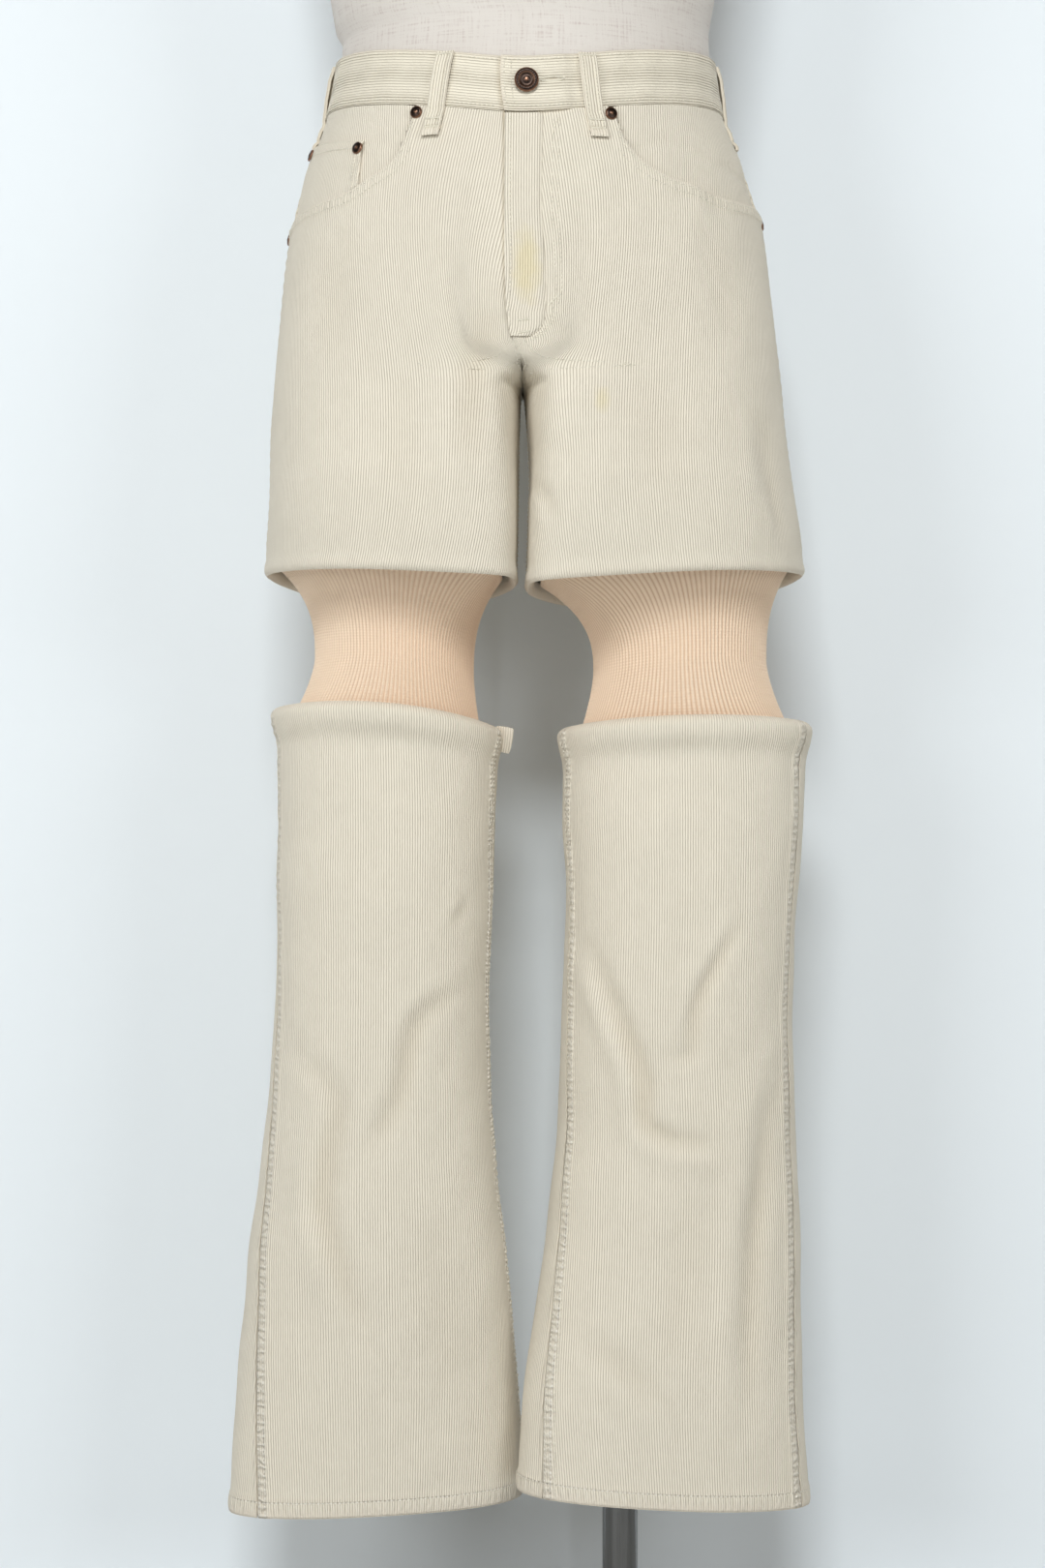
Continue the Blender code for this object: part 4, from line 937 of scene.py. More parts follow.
def thigh_piece(name, leg, shares, top, rows, node_name, cloth=thigh_cloth):
    """A front or back: rows from its upper edge, close together there, down to the knee, then the
    rows of the turned edge."""
    t = np.linspace(0, 1, rows)[:, None] ** 1.35
    rim = round_edge(THIGH_RIM[leg], shares)
    along, inset = rim_rows(THIGH_TURN, 18)
    heights = np.concatenate([top + (rim + 0.0135 - top) * t, rim + along[:, None]])
    roll = 0.0002 * ridge(heights - rim - 0.0145, 0.0050)
    lift = np.concatenate([np.zeros(rows), -inset])[:, None] - roll
    outer = cloth(leg, shares, heights, lift)
    face = np.where(shares + 0 * heights < 0.5, "front", "back")
    # Painted shade with some dirt: each crease is marked darker by its depth.
    soil_and_shade = np.clip(creased(THIGH_CREASES, leg, face, outer) / 0.004, 0, 1)
    wear = 0.5 * ridge(heights - rim, 0.0035)
    front = node_name.startswith("front")
    if front:
        wear = wear + 0.8 * ridge(top + 0.0008 - heights, 0.0022) * (shares > 0.15)
    # Painted shadow: a dark line on the right front just beside the fly's lapped edge, strongest near
    # the waistband.
    if node_name == "front_right":
        under_edge = ridge((shares - 0.0056) * HALF_BODY, 0.0010) * ramp(heights - 0.935, 0.02)
        soil_and_shade = soil_and_shade + (1.6 + 1.6 * ridge(heights - 1.082, 0.014)) * under_edge
    marks = {"wear": wear, "soil_and_shade": soil_and_shade}
    on = "torso" if front else "yoke_" + leg
    uv = grain(upper_form, leg, shares, heights, 0.25 if front else 0.75)
    made_of_cloth(name, leg, outer, WALL, [node_name], uv, marks, "hung", on)


FLY_CURVE = (
    (1.0796, 0.0137),
    (1.0500, 0.0131),
    (1.0150, 0.0128),
    (0.9800, 0.0148),
    (0.9560, 0.0156),
    (0.9430, 0.0152),
    (0.9350, 0.0118),
    (0.9300, 0.0055),
)
FLY_ROWS = (0.0072, 0.0112)
fly_heights, fly_x = through(FLY_CURVE, 80).T


def front_cloth(leg, share, z, lift=0.0):
    """Points of a front's outer face: the thigh's, with the pocket's hem turned under, which is a
    raised, puckered band along the mouth. Beside the fly the left one is puckered by two rows of
    stitches that hold the shield behind it."""
    share, z = both(share, z)
    if leg == "left":
        beside = upper_form(leg, share, z)[..., 0] - np.interp(z, fly_heights[::-1], fly_x[::-1])
        rows = ridge(beside - FLY_ROWS[0], 0.0008) + ridge(beside - FLY_ROWS[1], 0.0008)
        puckered = 0.00035 * pucker(z, 15.0) * ridge(beside - 0.0092, 0.0045) - 0.0003 * rows
        lift = lift + puckered * ramp(z - 0.938, 0.010) * (share < 0.14)
    drop = band_bottom(leg, share) - SEAM_GAP - z
    gap = from_mouth(leg, share + 0 * drop, drop)
    here = ramp(share - 0.140, 0.012)
    gather = 0.00035 * pucker(share * HALF_BODY * 1.3, 3.7) * ridge(gap - 0.0042, 0.0042)
    sunk = ridge(gap - 0.0021, 0.0007) + ridge(gap - 0.0068, 0.0008)
    hem = felled(gap, share * HALF_BODY, MOUTH_HEM, 0.0010, 3.0) + 1.5 * gather - 0.0003 * sunk
    return thigh_cloth(leg, share, z, here * hem + lift)


for leg in SIDES:
    mouth_share, mouth_drop = mouth_curve(leg, 0.0, 96)
    shares = np.concatenate([SEAM_SHARE + 0.144 * crowded(62, 0.6)[:-1], mouth_share])
    shares[-1] -= SEAM_SHARE
    drops = np.concatenate([np.zeros(61), mouth_drop])
    top = band_bottom(leg, shares) - SEAM_GAP - drops
    thigh_piece("front_" + leg + "_cloth", leg, shares, top, 128, "front_" + leg, front_cloth)
    shares = 0.5 + SEAM_SHARE + (0.5 - 2 * SEAM_SHARE) * crowded(104, 0.75)
    top = yoke_seam(leg, shares) - SEAM_GAP
    thigh_piece("back_" + leg + "_cloth", leg, shares, top, 92, "back_" + leg)

rows, ROW_NEAR, ROW_FAR = [], 0.0017, 0.0064
for leg in SIDES:
    for away in (ROW_NEAR, ROW_FAR):
        z = np.linspace(round_edge(THIGH_RIM[leg], 0.0) + 0.004, CROTCH + 0.020, 80)
        rows.append(sewn(thigh_cloth, leg, away / metres_round(upper_form, leg, 0.006, z), z))
        share, drop = mouth_curve(leg, away + 0.0004, 160)
        drop = drop[share > 0.150]
        share = share[share > 0.150]
        rows.append(sewn(front_cloth, leg, share, band_bottom(leg, share) - SEAM_GAP - drop))
for away in (ROW_NEAR, ROW_FAR):
    z = np.linspace(CROTCH + 0.035, yoke_seam("left", 1.0) - 0.001, 60)
    rows.append(sewn(thigh_cloth, "left", 1 - away / metres_round(upper_form, "left", 0.994, z), z))
stitches("thigh_thread", rows)


# The yokes: two shallow shaped pieces under the waistband at the back, which give the seat its
# curve. The backs are felled into their lower edge with two rows of stitches.
for leg in SIDES:
    shares = 0.5 + SEAM_SHARE + (0.5 - 2 * SEAM_SHARE) * crowded(90, 0.75)
    low = yoke_seam(leg, shares)
    top = band_bottom(leg, shares) - SEAM_GAP
    heights = top + (low - top) * crowded(40, 0.7)[:, None]
    relief = felled(heights - low, shares * HALF_BODY, FELLED, 0.0006, 5.0)
    outer = thigh_cloth(leg, shares, heights, relief)
    uv = grain(upper_form, leg, shares, heights, 0.75)
    made_of_cloth("yoke_" + leg + "_cloth", leg, outer, WALL, ["yoke_" + leg], uv, on="torso")
    share = np.linspace(0.503, 0.9985, 90)
    seam = yoke_seam(leg, share)
    rows = [sewn(thigh_cloth, leg, share, seam + away) for away in (ROW_NEAR, ROW_FAR)]
    stitches("yoke_thread_" + leg, rows)


# The front pockets: a facing of the same corduroy shows in each scooped mouth, and a small coin
# pocket is sewn on the right one, open at its upper edge and held at both corners by rivets.
FACING_TUCK, FACING_REACH, FACING_SHY, FACING_WALL, COIN_WALL = 0.014, 0.028, 0.0006, 0.0013, 0.0012


Wrinkle = namedtuple("Wrinkle", "depth drop slope share width middle reach")
WRINKLES = (
    Wrinkle(0.0008, 0.028, 0.05, 0.20, 0.0022, 0.19, 0.035),
    Wrinkle(0.0012, 0.044, -0.10, 0.38, 0.0024, 0.40, 0.05),
    Wrinkle(0.0010, 0.057, 0.12, 0.42, 0.0026, 0.43, 0.04),
)


def facing_inset(drop, mouth):
    """The facing lies under the front at the mouth and nearly level with it further up."""
    above = ramp(mouth - drop - 0.004, FACING_REACH)
    return -(WALL + 0.0005) * (1 - above) - FACING_SHY * above


def mouth_at(leg, shares):
    """How far below the waistband the mouth lies."""
    x, d = mouth_curve(leg, 0.0, 200)
    return np.interp(shares, x, d)


def facing_cloth(leg, share, drop, lift=0.0):
    """Points of the facing's outer face, with a few soft wrinkles along the mouth."""
    share, drop = both(share, drop)
    mouth = mouth_at(leg, share)
    place = upper_form(leg, share, band_bottom(leg, share) - drop)
    side = felled((0.5 - share) * HALF_BODY, drop, 0.008, 0.0003, 7.0) * ramp(mouth - drop, 0.012)
    wrinkle = 0.0006 * ridge(drop - 0.62 * mouth - 0.006 * np.sin(19 * share), 0.004)
    for row in WRINKLES[: 3 if leg == "left" else 1]:
        across = ridge(drop - row.drop + row.slope * (share - row.share), row.width)
        wrinkle = wrinkle + row.depth * across * ridge(share - row.middle, row.reach)
    out = facing_inset(drop, mouth) + side - wrinkle + 0.6 * unrest(place, SIDES[leg])
    return skin(upper_form, leg, share, band_bottom(leg, share) - drop, out + lift)


for leg in SIDES:
    shares = np.concatenate([[0.136], mouth_curve(leg, 0.0, 90)[0]])
    shares[-1] -= SEAM_SHARE
    drops = SEAM_GAP + (mouth_at(leg, shares) + FACING_TUCK) * np.linspace(0, 1, 40)[:, None]
    outer = facing_cloth(leg, shares, drops)
    name = "facing_" + leg
    uv = grain(upper_form, leg, shares, band_bottom(leg, shares) - drops, 0.40)
    made_of_cloth(name + "_cloth", leg, outer, FACING_WALL, [name], uv, held="stretched", on="torso")

COIN_SIDES, COIN_TOP = (0.245, 0.450), (0.026, 0.024)


def coin_cloth(share, part, lift=0.0):
    """Points of the coin pocket's outer face: part runs from its open upper edge to the mouth. Its
    hem is turned under at the top and its right side is stitched twice."""
    share, part = both(share, part)
    mouth = mouth_at("right", share)
    run = (share - COIN_SIDES[0]) / (COIN_SIDES[1] - COIN_SIDES[0])
    top = COIN_TOP[0] + (COIN_TOP[1] - COIN_TOP[0]) * run
    drop = top + (mouth - 0.0004 - top) * part
    hem = felled(drop - top, share * HALF_BODY, 0.0065, 0.0005, 9.0)
    hem = hem + felled((share - COIN_SIDES[0]) * HALF_BODY, drop, 0.0072, 0.0006, 9.5)
    hem = hem - 0.0003 * ridge((share - COIN_SIDES[0]) * HALF_BODY - 0.0040, 0.0010)
    hem = hem - 0.0004 * ridge((share - COIN_SIDES[1]) * HALF_BODY, 0.0010)
    inset = facing_inset(drop, mouth) + 0.0004 + COIN_WALL
    place = upper_form("right", share, band_bottom("right", share) - drop)
    out = inset + hem + 0.6 * unrest(place, SIDES["right"]) + lift
    return skin(upper_form, "right", share, band_bottom("right", share) - drop, out)


shares = COIN_SIDES[0] + (COIN_SIDES[1] - COIN_SIDES[0]) * crowded(56, 0.7)
outer = coin_cloth(shares, crowded(40, 0.7)[:, None])
made_of_cloth("coin_pocket_cloth", "right", outer, COIN_WALL, ["coin_pocket"], on="facing_right")
across = np.linspace(COIN_SIDES[0] + 0.004, COIN_SIDES[1] - 0.004, 40)
down = np.linspace(0.01, 0.97, 40)
rows = [sewn(coin_cloth, across, 0.014 + 0 * across), sewn(coin_cloth, across, 0.15 + 0 * across)]
for away in (0.0016, 0.0058):
    rows.append(sewn(coin_cloth, COIN_SIDES[0] + away / HALF_BODY + 0 * down, down))
stitches("coin_pocket_thread", rows, 0.0024, 0.0020)


# The back pockets: two plain patches with a pointed foot, hemmed at the top and stitched on twice.
POCKET_WALL, POCKET_TOP, POCKET_LOW, POCKET_POINT = 0.0015, 0.995, 0.889, 0.0145
POCKET_SHARES = [0.5 + SEAM_SHARE + part * (0.5 - 2 * SEAM_SHARE) for part in (0.2, 0.7)]
POCKET_WIDTH = 0.135


def pocket_cloth(leg, across, down, lift=0.0):
    """Points of a back pocket's outer face, across and down it from 0 to 1."""
    across, down = both(across, down)
    share = POCKET_SHARES[0] + (POCKET_SHARES[1] - POCKET_SHARES[0]) * across
    low = POCKET_LOW - POCKET_POINT * (1 - np.abs(2 * across - 1))
    z = POCKET_TOP + (low - POCKET_TOP) * down
    along = across * POCKET_WIDTH
    edge = np.minimum(across, 1 - across) * POCKET_WIDTH
    relief = felled(np.minimum(edge, (z - low) * 0.98), z + along, 0.0075, 0.0004, 11.0)
    relief = relief + felled(POCKET_TOP - z, along, 0.012, 0.0004, 11.5)
    return thigh_cloth(leg, share, z, 0.0008 + POCKET_WALL + relief + lift)


for leg in SIDES:
    outer = pocket_cloth(leg, crowded(60, 0.8), crowded(56, 0.8)[:, None])
    name = "back_pocket_" + leg
    made_of_cloth(name + "_cloth", leg, outer, POCKET_WALL, [name], on="back_" + leg)
    rows = [sewn(pocket_cloth, leg, np.linspace(0.02, 0.98, 60), np.full(60, 0.095))]
    for away in (ROW_NEAR, ROW_FAR):
        side, foot = away / POCKET_WIDTH, 1 - away / (POCKET_TOP - POCKET_LOW)
        between = np.linspace(side, 1 - side, 61)[1:-1]
        across = np.r_[np.full(40, side), between, np.full(40, 1 - side)]
        down = np.r_[np.linspace(0.01, foot, 40), np.full(59, foot), np.linspace(foot, 0.01, 40)]
        rows.append(sewn(pocket_cloth, leg, across, down))
    stitches(name + "_thread", rows)


# The fly: the left front's edge laps over the right, closed, and a curved double row of stitches
# holds its shield. Below it the crotch seam is felled and a bartack ends the curve.
FLY_WALL, FLY_EDGE = 0.0010, -0.004
fly_reach = share_at("left", fly_x, fly_heights)


def reach_of_fly(z):
    """The share at which the fly's curved edge lies."""
    return np.interp(z, fly_heights[::-1], fly_reach[::-1])


def fly_cloth(across, z, lift=0.0):
    """Points of the fly's outer face: across runs from its free edge to its curved edge, which is
    pressed down nearly flush."""
    across, z = both(across, z)
    reach = reach_of_fly(z)
    share = FLY_EDGE + (reach - FLY_EDGE) * across
    gap = (share - FLY_EDGE) * HALF_BODY
    curve = (reach - share) * HALF_BODY
    relief = 0.0004 * falling(gap - 0.0045, 0.0008) - 0.0003 * ridge(gap - 0.0034, 0.0007)
    relief = relief + 0.0003 * pucker(z, 13.0) * ridge(gap - 0.0030, 0.0030)
    relief = relief - 0.0011 * ridge(curve, 0.0014) + 0.0004 * ridge(curve - 0.0050, 0.0030)
    return thigh_cloth("left", share, z, 0.0006 + FLY_WALL + relief + lift)


def fly_across(x, z):
    """How far across the fly a place lies, from its distance to the middle plane."""
    reach = reach_of_fly(z)
    return (share_at("left", x, z) - FLY_EDGE) / (reach - FLY_EDGE)


levels = fly_heights[0] + (fly_heights[-1] - fly_heights[0]) * np.linspace(0, 1, 110)[:, None]
outer = fly_cloth(crowded(40, 0.6), levels)
made_of_cloth("fly_cloth", "left", outer, FLY_WALL, ["fly"], on="front_left")
z = np.linspace(fly_heights[0] - 0.002, fly_heights[-1] + 0.006, 90)
rows = [sewn(fly_cloth, 0.0033 / HALF_BODY / (reach_of_fly(z) - FLY_EDGE), z)]
line = through(FLY_CURVE, 120)
ahead = heading(line)
for away in FLY_ROWS:
    away = away * (0.25 + 0.75 * ramp(line[:, 0] - 0.932, 0.030))
    z, x = (line[:, 0] + away * ahead[:, 1])[2:], (line[:, 1] - away * ahead[:, 0])[2:]
    rows.append(sewn(front_cloth, "left", share_at("left", x, z), z))
z = np.linspace(fly_heights[-1] - 0.002, CROTCH + 0.006, 24)
round_seam = metres_round(upper_form, "left", 0.006, z)
rows += [sewn(thigh_cloth, "left", away / round_seam, z) for away in (ROW_NEAR, ROW_FAR)]
z = np.array([1.0805, 1.0700, 1.0635])
rows.append(sewn(thigh_cloth, "left", share_at("left", (0.0250, 0.0215, 0.0200), z), z))
stitches("fly_thread", rows)
x, z = (0.0178, 0.0236), np.array([0.9510, 0.9570])
tacks = [tacked(front_cloth, "left", share_at("left", x, z), z)]
for x, z in (((-0.0030, 0.0048), (0.9405, 0.9412)), ((-0.0026, 0.0046), (0.9322, 0.9330))):
    tacks.append(tacked(fly_cloth, fly_across(x, z), np.array(z)))
stitches("fly_bartacks", tacks, 0.0005, 0.0019, 0.0003, crosswise=True)


# The knees: two rib knit tubes in peach wool, 140 raised ribs round, drawn in at the middle and
# sewn inside the turned edges above and below, which hide both ends.
Knit = namedtuple("Knit", "middle half_width half_depth share top_inside foot_inside")
KNITS = {
    "right": Knit(0.0906, 0.0562, 0.0545, 0.60, 0.0032, 0.0022),
    "left": Knit(0.1113, 0.0612, 0.0580, 0.57, 0.0033, 0.0022),
}
RIBS, RIB_DEPTH, KNIT_WALL, KNIT_TUCK = 140, 0.0009, 0.0014, 0.005
RIB_PITCH, ROW_PITCH = 0.0028, 0.0021
KNIT_TOP_CURVE, KNIT_FOOT_CURVE = 2.7, 1.5
SHINS = {
    "right": (
        Leg(0.690, 0.0106, 0.1788, 0.066, 0.066, 0.0),
        Leg(0.630, 0.0170, 0.1733, 0.062, 0.064, 0.0),
        Leg(0.550, 0.0212, 0.1733, 0.064, 0.066, 0.0),
        Leg(0.460, 0.0240, 0.1754, 0.062, 0.064, 0.0),
        Leg(0.380, 0.0209, 0.1829, 0.058, 0.060, 0.0),
        Leg(0.300, 0.0127, 0.1932, 0.054, 0.056, 0.002),
        Leg(0.200, 0.0041, 0.2024, 0.049, 0.051, 0.014),
        Leg(0.112, -0.0003, 0.2078, 0.046, 0.047, 0.020),
    ),
    "left": (
        Leg(0.690, 0.0224, 0.2069, 0.066, 0.066, 0.0),
        Leg(0.630, 0.0270, 0.2010, 0.062, 0.064, 0.0),
        Leg(0.550, 0.0305, 0.1942, 0.064, 0.066, 0.0),
        Leg(0.460, 0.0274, 0.1908, 0.062, 0.064, 0.0),
        Leg(0.380, 0.0240, 0.1935, 0.058, 0.060, 0.0),
        Leg(0.300, 0.0147, 0.1966, 0.054, 0.056, -0.002),
        Leg(0.200, 0.0005, 0.1981, 0.049, 0.051, -0.014),
        Leg(0.118, -0.0052, 0.2035, 0.046, 0.047, -0.020),
    ),
}
SHIN_TOP = {"right": Edge(0.669, 0.683, 0.6855, 0.683), "left": Edge(0.669, 0.673, 0.677, 0.675)}
SHIN_TURN = (
    (0.009, 0.0135),
    (0.0018, 0.0128),
    (0.0, 0.0095),
    (0.0006, 0.0040),
    (0.0040, 0.0004),
    (0.010, 0.0),
    (0.026, 0.0050),
    (0.042, 0.0030),
    (0.070, 0.0),
)
RECESS_AT_SIDES = 0.35


def lower_form(leg, share, z):
    """The outline of the lower leg."""
    return leg_ring(SHINS[leg], SIDES[leg], share, z)


def knit_ring(leg, share, t):
    """A point of a knee tube at a share of the way round and t from its top to its foot: a waist
    that flares to the edges above and below as a power of the distance."""
    knit, side = KNITS[leg], SIDES[leg]
    top = round_edge(THIGH_RIM[leg], share) + KNIT_TUCK
    low = round_edge(SHIN_TOP[leg], share) - KNIT_TUCK
    z = top + (low - top) * t
    upper = ramp(knit.share - t, knit.share)[..., None] ** KNIT_TOP_CURVE
    lower = ramp(t - knit.share, 1 - knit.share)[..., None] ** KNIT_FOOT_CURVE
    wide = skin(upper_form, leg, share, top, -THIGH_TURN[-1][1] - knit.top_inside)
    foot = skin(lower_form, leg, share, low, -SHIN_TURN[0][1] - knit.foot_inside)
    turn = 2 * math.pi * share
    x = side * (knit.middle - knit.half_width * np.cos(turn))
    waist = joined(x, -knit.half_depth * np.sin(turn), z)
    point = waist * (1 - upper - lower) + wide * upper + foot * lower
    point[..., 2] = z
    return point


wool, tree, shader = principled("peach_rib_knit", (0.86, 0.64, 0.45), 0.9)
cloth = node(tree, "ShaderNodeUVMap", uv_map="cloth").outputs[0]
place = object_place(tree)
u, v, _ = node(tree, "ShaderNodeSeparateXYZ", {0: cloth}).outputs
wave = math_node(tree, "SINE", times(tree, u, math.pi / RIB_PITCH))
rib = math_node(tree, "ABSOLUTE", wave)
rows = times_plus(tree, v, 2 * math.pi / ROW_PITCH, times(tree, rib, -1.6))
loops = times_plus(tree, math_node(tree, "SINE", rows), 0.5, 0.5)
high = times(tree, loops, math_node(tree, "POWER", rib, 1.5))
high = plus(tree, high, times(tree, noise(tree, place, 2600.0, 3.0), 0.6))
melange = times(tree, noise(tree, place, 1500.0, 3.0, 0.7), 0.35)
# Painted shade: the valleys between the ribs are darkened toward brown.
between = times_plus(tree, math_node(tree, "POWER", rib, 0.7), -0.78, 0.78)
body = mixed(tree, noise(tree, place, 22.0, 3.0), (0.835, 0.635, 0.46), (0.87, 0.68, 0.51))
body = mixed(tree, melange, body, (0.95, 0.80, 0.64))
body = mixed(tree, between, body, (0.52, 0.30, 0.17))
finished(tree, shader, body, height=high, strength=0.6, distance=0.0004)
sheen(shader, 0.35, 0.4, (1.0, 0.88, 0.75, 1))

for leg in SIDES:
    columns = 6 * RIBS
    share = np.arange(columns)[None, :] / columns
    t = np.linspace(0, 1, 40)[:, None]
    outer = knit_ring(leg, share, t)
    inward = outer.mean(1, keepdims=True) - outer
    inward[..., 2] = 0
    inward /= np.linalg.norm(inward, axis=-1, keepdims=True)
    valley = 1 - np.abs(np.sin(math.pi * RIBS * share)) ** 0.8
    outer = outer + inward * (RIB_DEPTH * valley)[..., None]
    if leg == "right":
        outer = outer[:, ::-1]
    around = np.arange(columns + 1)[None, :] * RIB_PITCH * RIBS / columns
    down = lengths(outer[:, 0])[:, None]
    name = "knit_" + leg
    mesh = walled(name, outer, KNIT_WALL, joined(around, down), {}, wrap=True)
    made = piece(name + "_wool", mesh, wool)
    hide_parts(name)


# The lower legs: a front and a back each, flared, with a rolled upper edge that stands out from the
# knit. The inner seam is felled with two rows of stitches and the side seam is pressed forward.
SeamRun = namedtuple("SeamRun", "inner_knee inner_hem outer_knee outer_hem")
SHIN_SEAMS = {
    "right": SeamRun(0.045, -0.020, 0.465, 0.385),
    "left": SeamRun(0.045, 0.104, 0.430, 0.428),
}
HEM = {"right": Edge(0.1240, 0.1175, 0.1208, 0.1208), "left": Edge(0.1374, 0.1231, 0.1300, 0.1300)}
HEM_FOLD, ROLL_HEIGHT = 0.0125, SHIN_TURN[-1][0]
GATHER_DEPTH, GATHER_PACE, GATHER_WANDER = 0.00034, 900, 90
SHIN_CREASES = (
    Crease("right", "front", 0.004, 0.0016, ((-0.037, 0.5495), (-0.042, 0.540), (-0.048, 0.533))),
    Crease("right", "front", 0.0075, 0.0044, (
        (-0.040, 0.490), (-0.0685, 0.468), (-0.087, 0.408), (-0.1065, 0.378),
    )),
    Crease("right", "front", 0.0085, 0.0046, (
        (-0.154, 0.444), (-0.128, 0.415), (-0.134, 0.371), (-0.137, 0.335), (-0.128, 0.302),
        (-0.108, 0.246),
    )),
    Crease("right", "front", 0.018, 0.0016, ((-0.060, 0.330), (-0.055, 0.270), (-0.048, 0.200))),
    Crease("right", "back", 0.014, 0.0050, ((-0.150, 0.540), (-0.112, 0.474), (-0.080, 0.400))),
    Crease("right", "back", 0.014, 0.0045, ((-0.040, 0.420), (-0.056, 0.335), (-0.090, 0.240))),
    Crease("right", "back", 0.009, 0.0030, ((-0.135, 0.400), (-0.140, 0.330), (-0.128, 0.262))),
    Crease("right", "back", 0.008, 0.0030, ((-0.060, 0.560), (-0.085, 0.535), (-0.120, 0.528))),
    Crease("left", "front", 0.0055, 0.0042, (
        (0.151, 0.536), (0.134, 0.506), (0.1245, 0.488), (0.1185, 0.469), (0.1145, 0.443),
        (0.0995, 0.442),
    )),
    Crease("left", "front", 0.0068, 0.0056, (
        (0.047, 0.517), (0.056, 0.494), (0.069, 0.463), (0.083, 0.425), (0.0865, 0.394),
        (0.1005, 0.386), (0.136, 0.383),
    )),
    Crease("left", "front", 0.0085, 0.0042, (
        (0.178, 0.430), (0.170, 0.394), (0.165, 0.351), (0.160, 0.305), (0.156, 0.189),
    )),
    Crease("left", "front", 0.010, 0.0022, ((0.042, 0.249), (0.0635, 0.232), (0.0955, 0.203))),
    Crease("left", "front", 0.016, 0.0016, ((0.120, 0.350), (0.112, 0.290), (0.102, 0.225))),
    Crease("left", "back", 0.014, 0.0050, ((0.160, 0.540), (0.120, 0.480), (0.090, 0.410))),
    Crease("left", "back", 0.014, 0.0045, ((0.060, 0.440), (0.095, 0.345), (0.110, 0.250))),
    Crease("left", "back", 0.010, 0.0030, ((0.165, 0.420), (0.158, 0.340), (0.162, 0.250))),
    Crease("left", "back", 0.007, 0.0028, ((0.055, 0.560), (0.085, 0.541), (0.115, 0.552))),
)


def shin_seams(leg, z):
    """Shares of the inner seam and the side seam at this height."""
    seams = SHIN_SEAMS[leg]
    top, low = SHIN_TOP[leg].front - ROLL_HEIGHT, HEM[leg].front
    down = ramp(top - z, top - low)
    inner = seams.inner_knee + (seams.inner_hem - seams.inner_knee) * down
    return inner, seams.outer_knee + (seams.outer_hem - seams.outer_knee) * down


def gathered(distance, along, seed):
    """Finer gathers than a felled seam's own, about 7 mm apart, on a band 8 mm wide."""
    wave = np.sin(along * GATHER_PACE + 2.2 * np.sin(along * GATHER_WANDER + seed))
    return GATHER_DEPTH * wave * ridge(distance, 0.0040)


def shin_cloth(leg, share, z, lift=0.0):
    """Points of the lower leg's outer face: the form, with creases, the two seams and the hem."""
    share, z = both(share, z)
    place = lower_form(leg, share, z)
    inner, outer = shin_seams(leg, z)
    reach = metres_round(lower_form, leg, share, z)
    face = np.where(np.mod(share, 1.0) < 0.5, "front", "back")
    inside, outside = (share - inner) * reach, (outer - share) * reach
    behind = (inner + 1 - share) * reach
    inward = np.where(inside < behind, inside, behind * 4)
    seam = felled(inward, z, FELLED, 0.0010, 3.3 * SIDES[leg]) + gathered(inward - 0.0040, z, 0.6)
    outward = np.where(outside > 0, outside, -4 * outside)
    seam = seam + felled(outward, z, 0.0105, 0.0006, 4.7 + SIDES[leg])
    seam = seam + gathered(outward - 0.0050, z, 2.6)
    hem = z - round_edge(HEM[leg], share)
    fold = felled(hem, share * reach, HEM_FOLD, 0.0008, 6.1 + SIDES[leg])
    fold = fold + gathered(hem - 0.0070, share * reach, 1.9)
    fold = fold - 0.0004 * ridge(hem - HEM_FOLD + 0.0016, 0.0008)
    rest = unrest(place, 4 + SIDES[leg]) * np.clip(hem / 0.05, 0.3, 1)
    fold = rest + seam + fold - creased(SHIN_CREASES, leg, face, place)
    return skin(lower_form, leg, share, z, fold + lift)


def shin_inset(leg, share, z):
    """How far the lower leg is set in below its turned edge, at a height on the outer side."""
    along, inset = rim_rows(SHIN_TURN, 400)
    start = int(np.argmin(along))
    below = round_edge(SHIN_TOP[leg], share) - z
    return np.interp(below, along[start:], inset[start:]) * recess(below, share)


def recess(below, share):
    """The hollow under the turned edge is deep at the front and back and shallow at the sides."""
    shallow = RECESS_AT_SIDES + (1 - RECESS_AT_SIDES) * np.abs(np.sin(2 * math.pi * share))
    return 1 + (shallow - 1) * ramp(below - 0.010, 0.004)


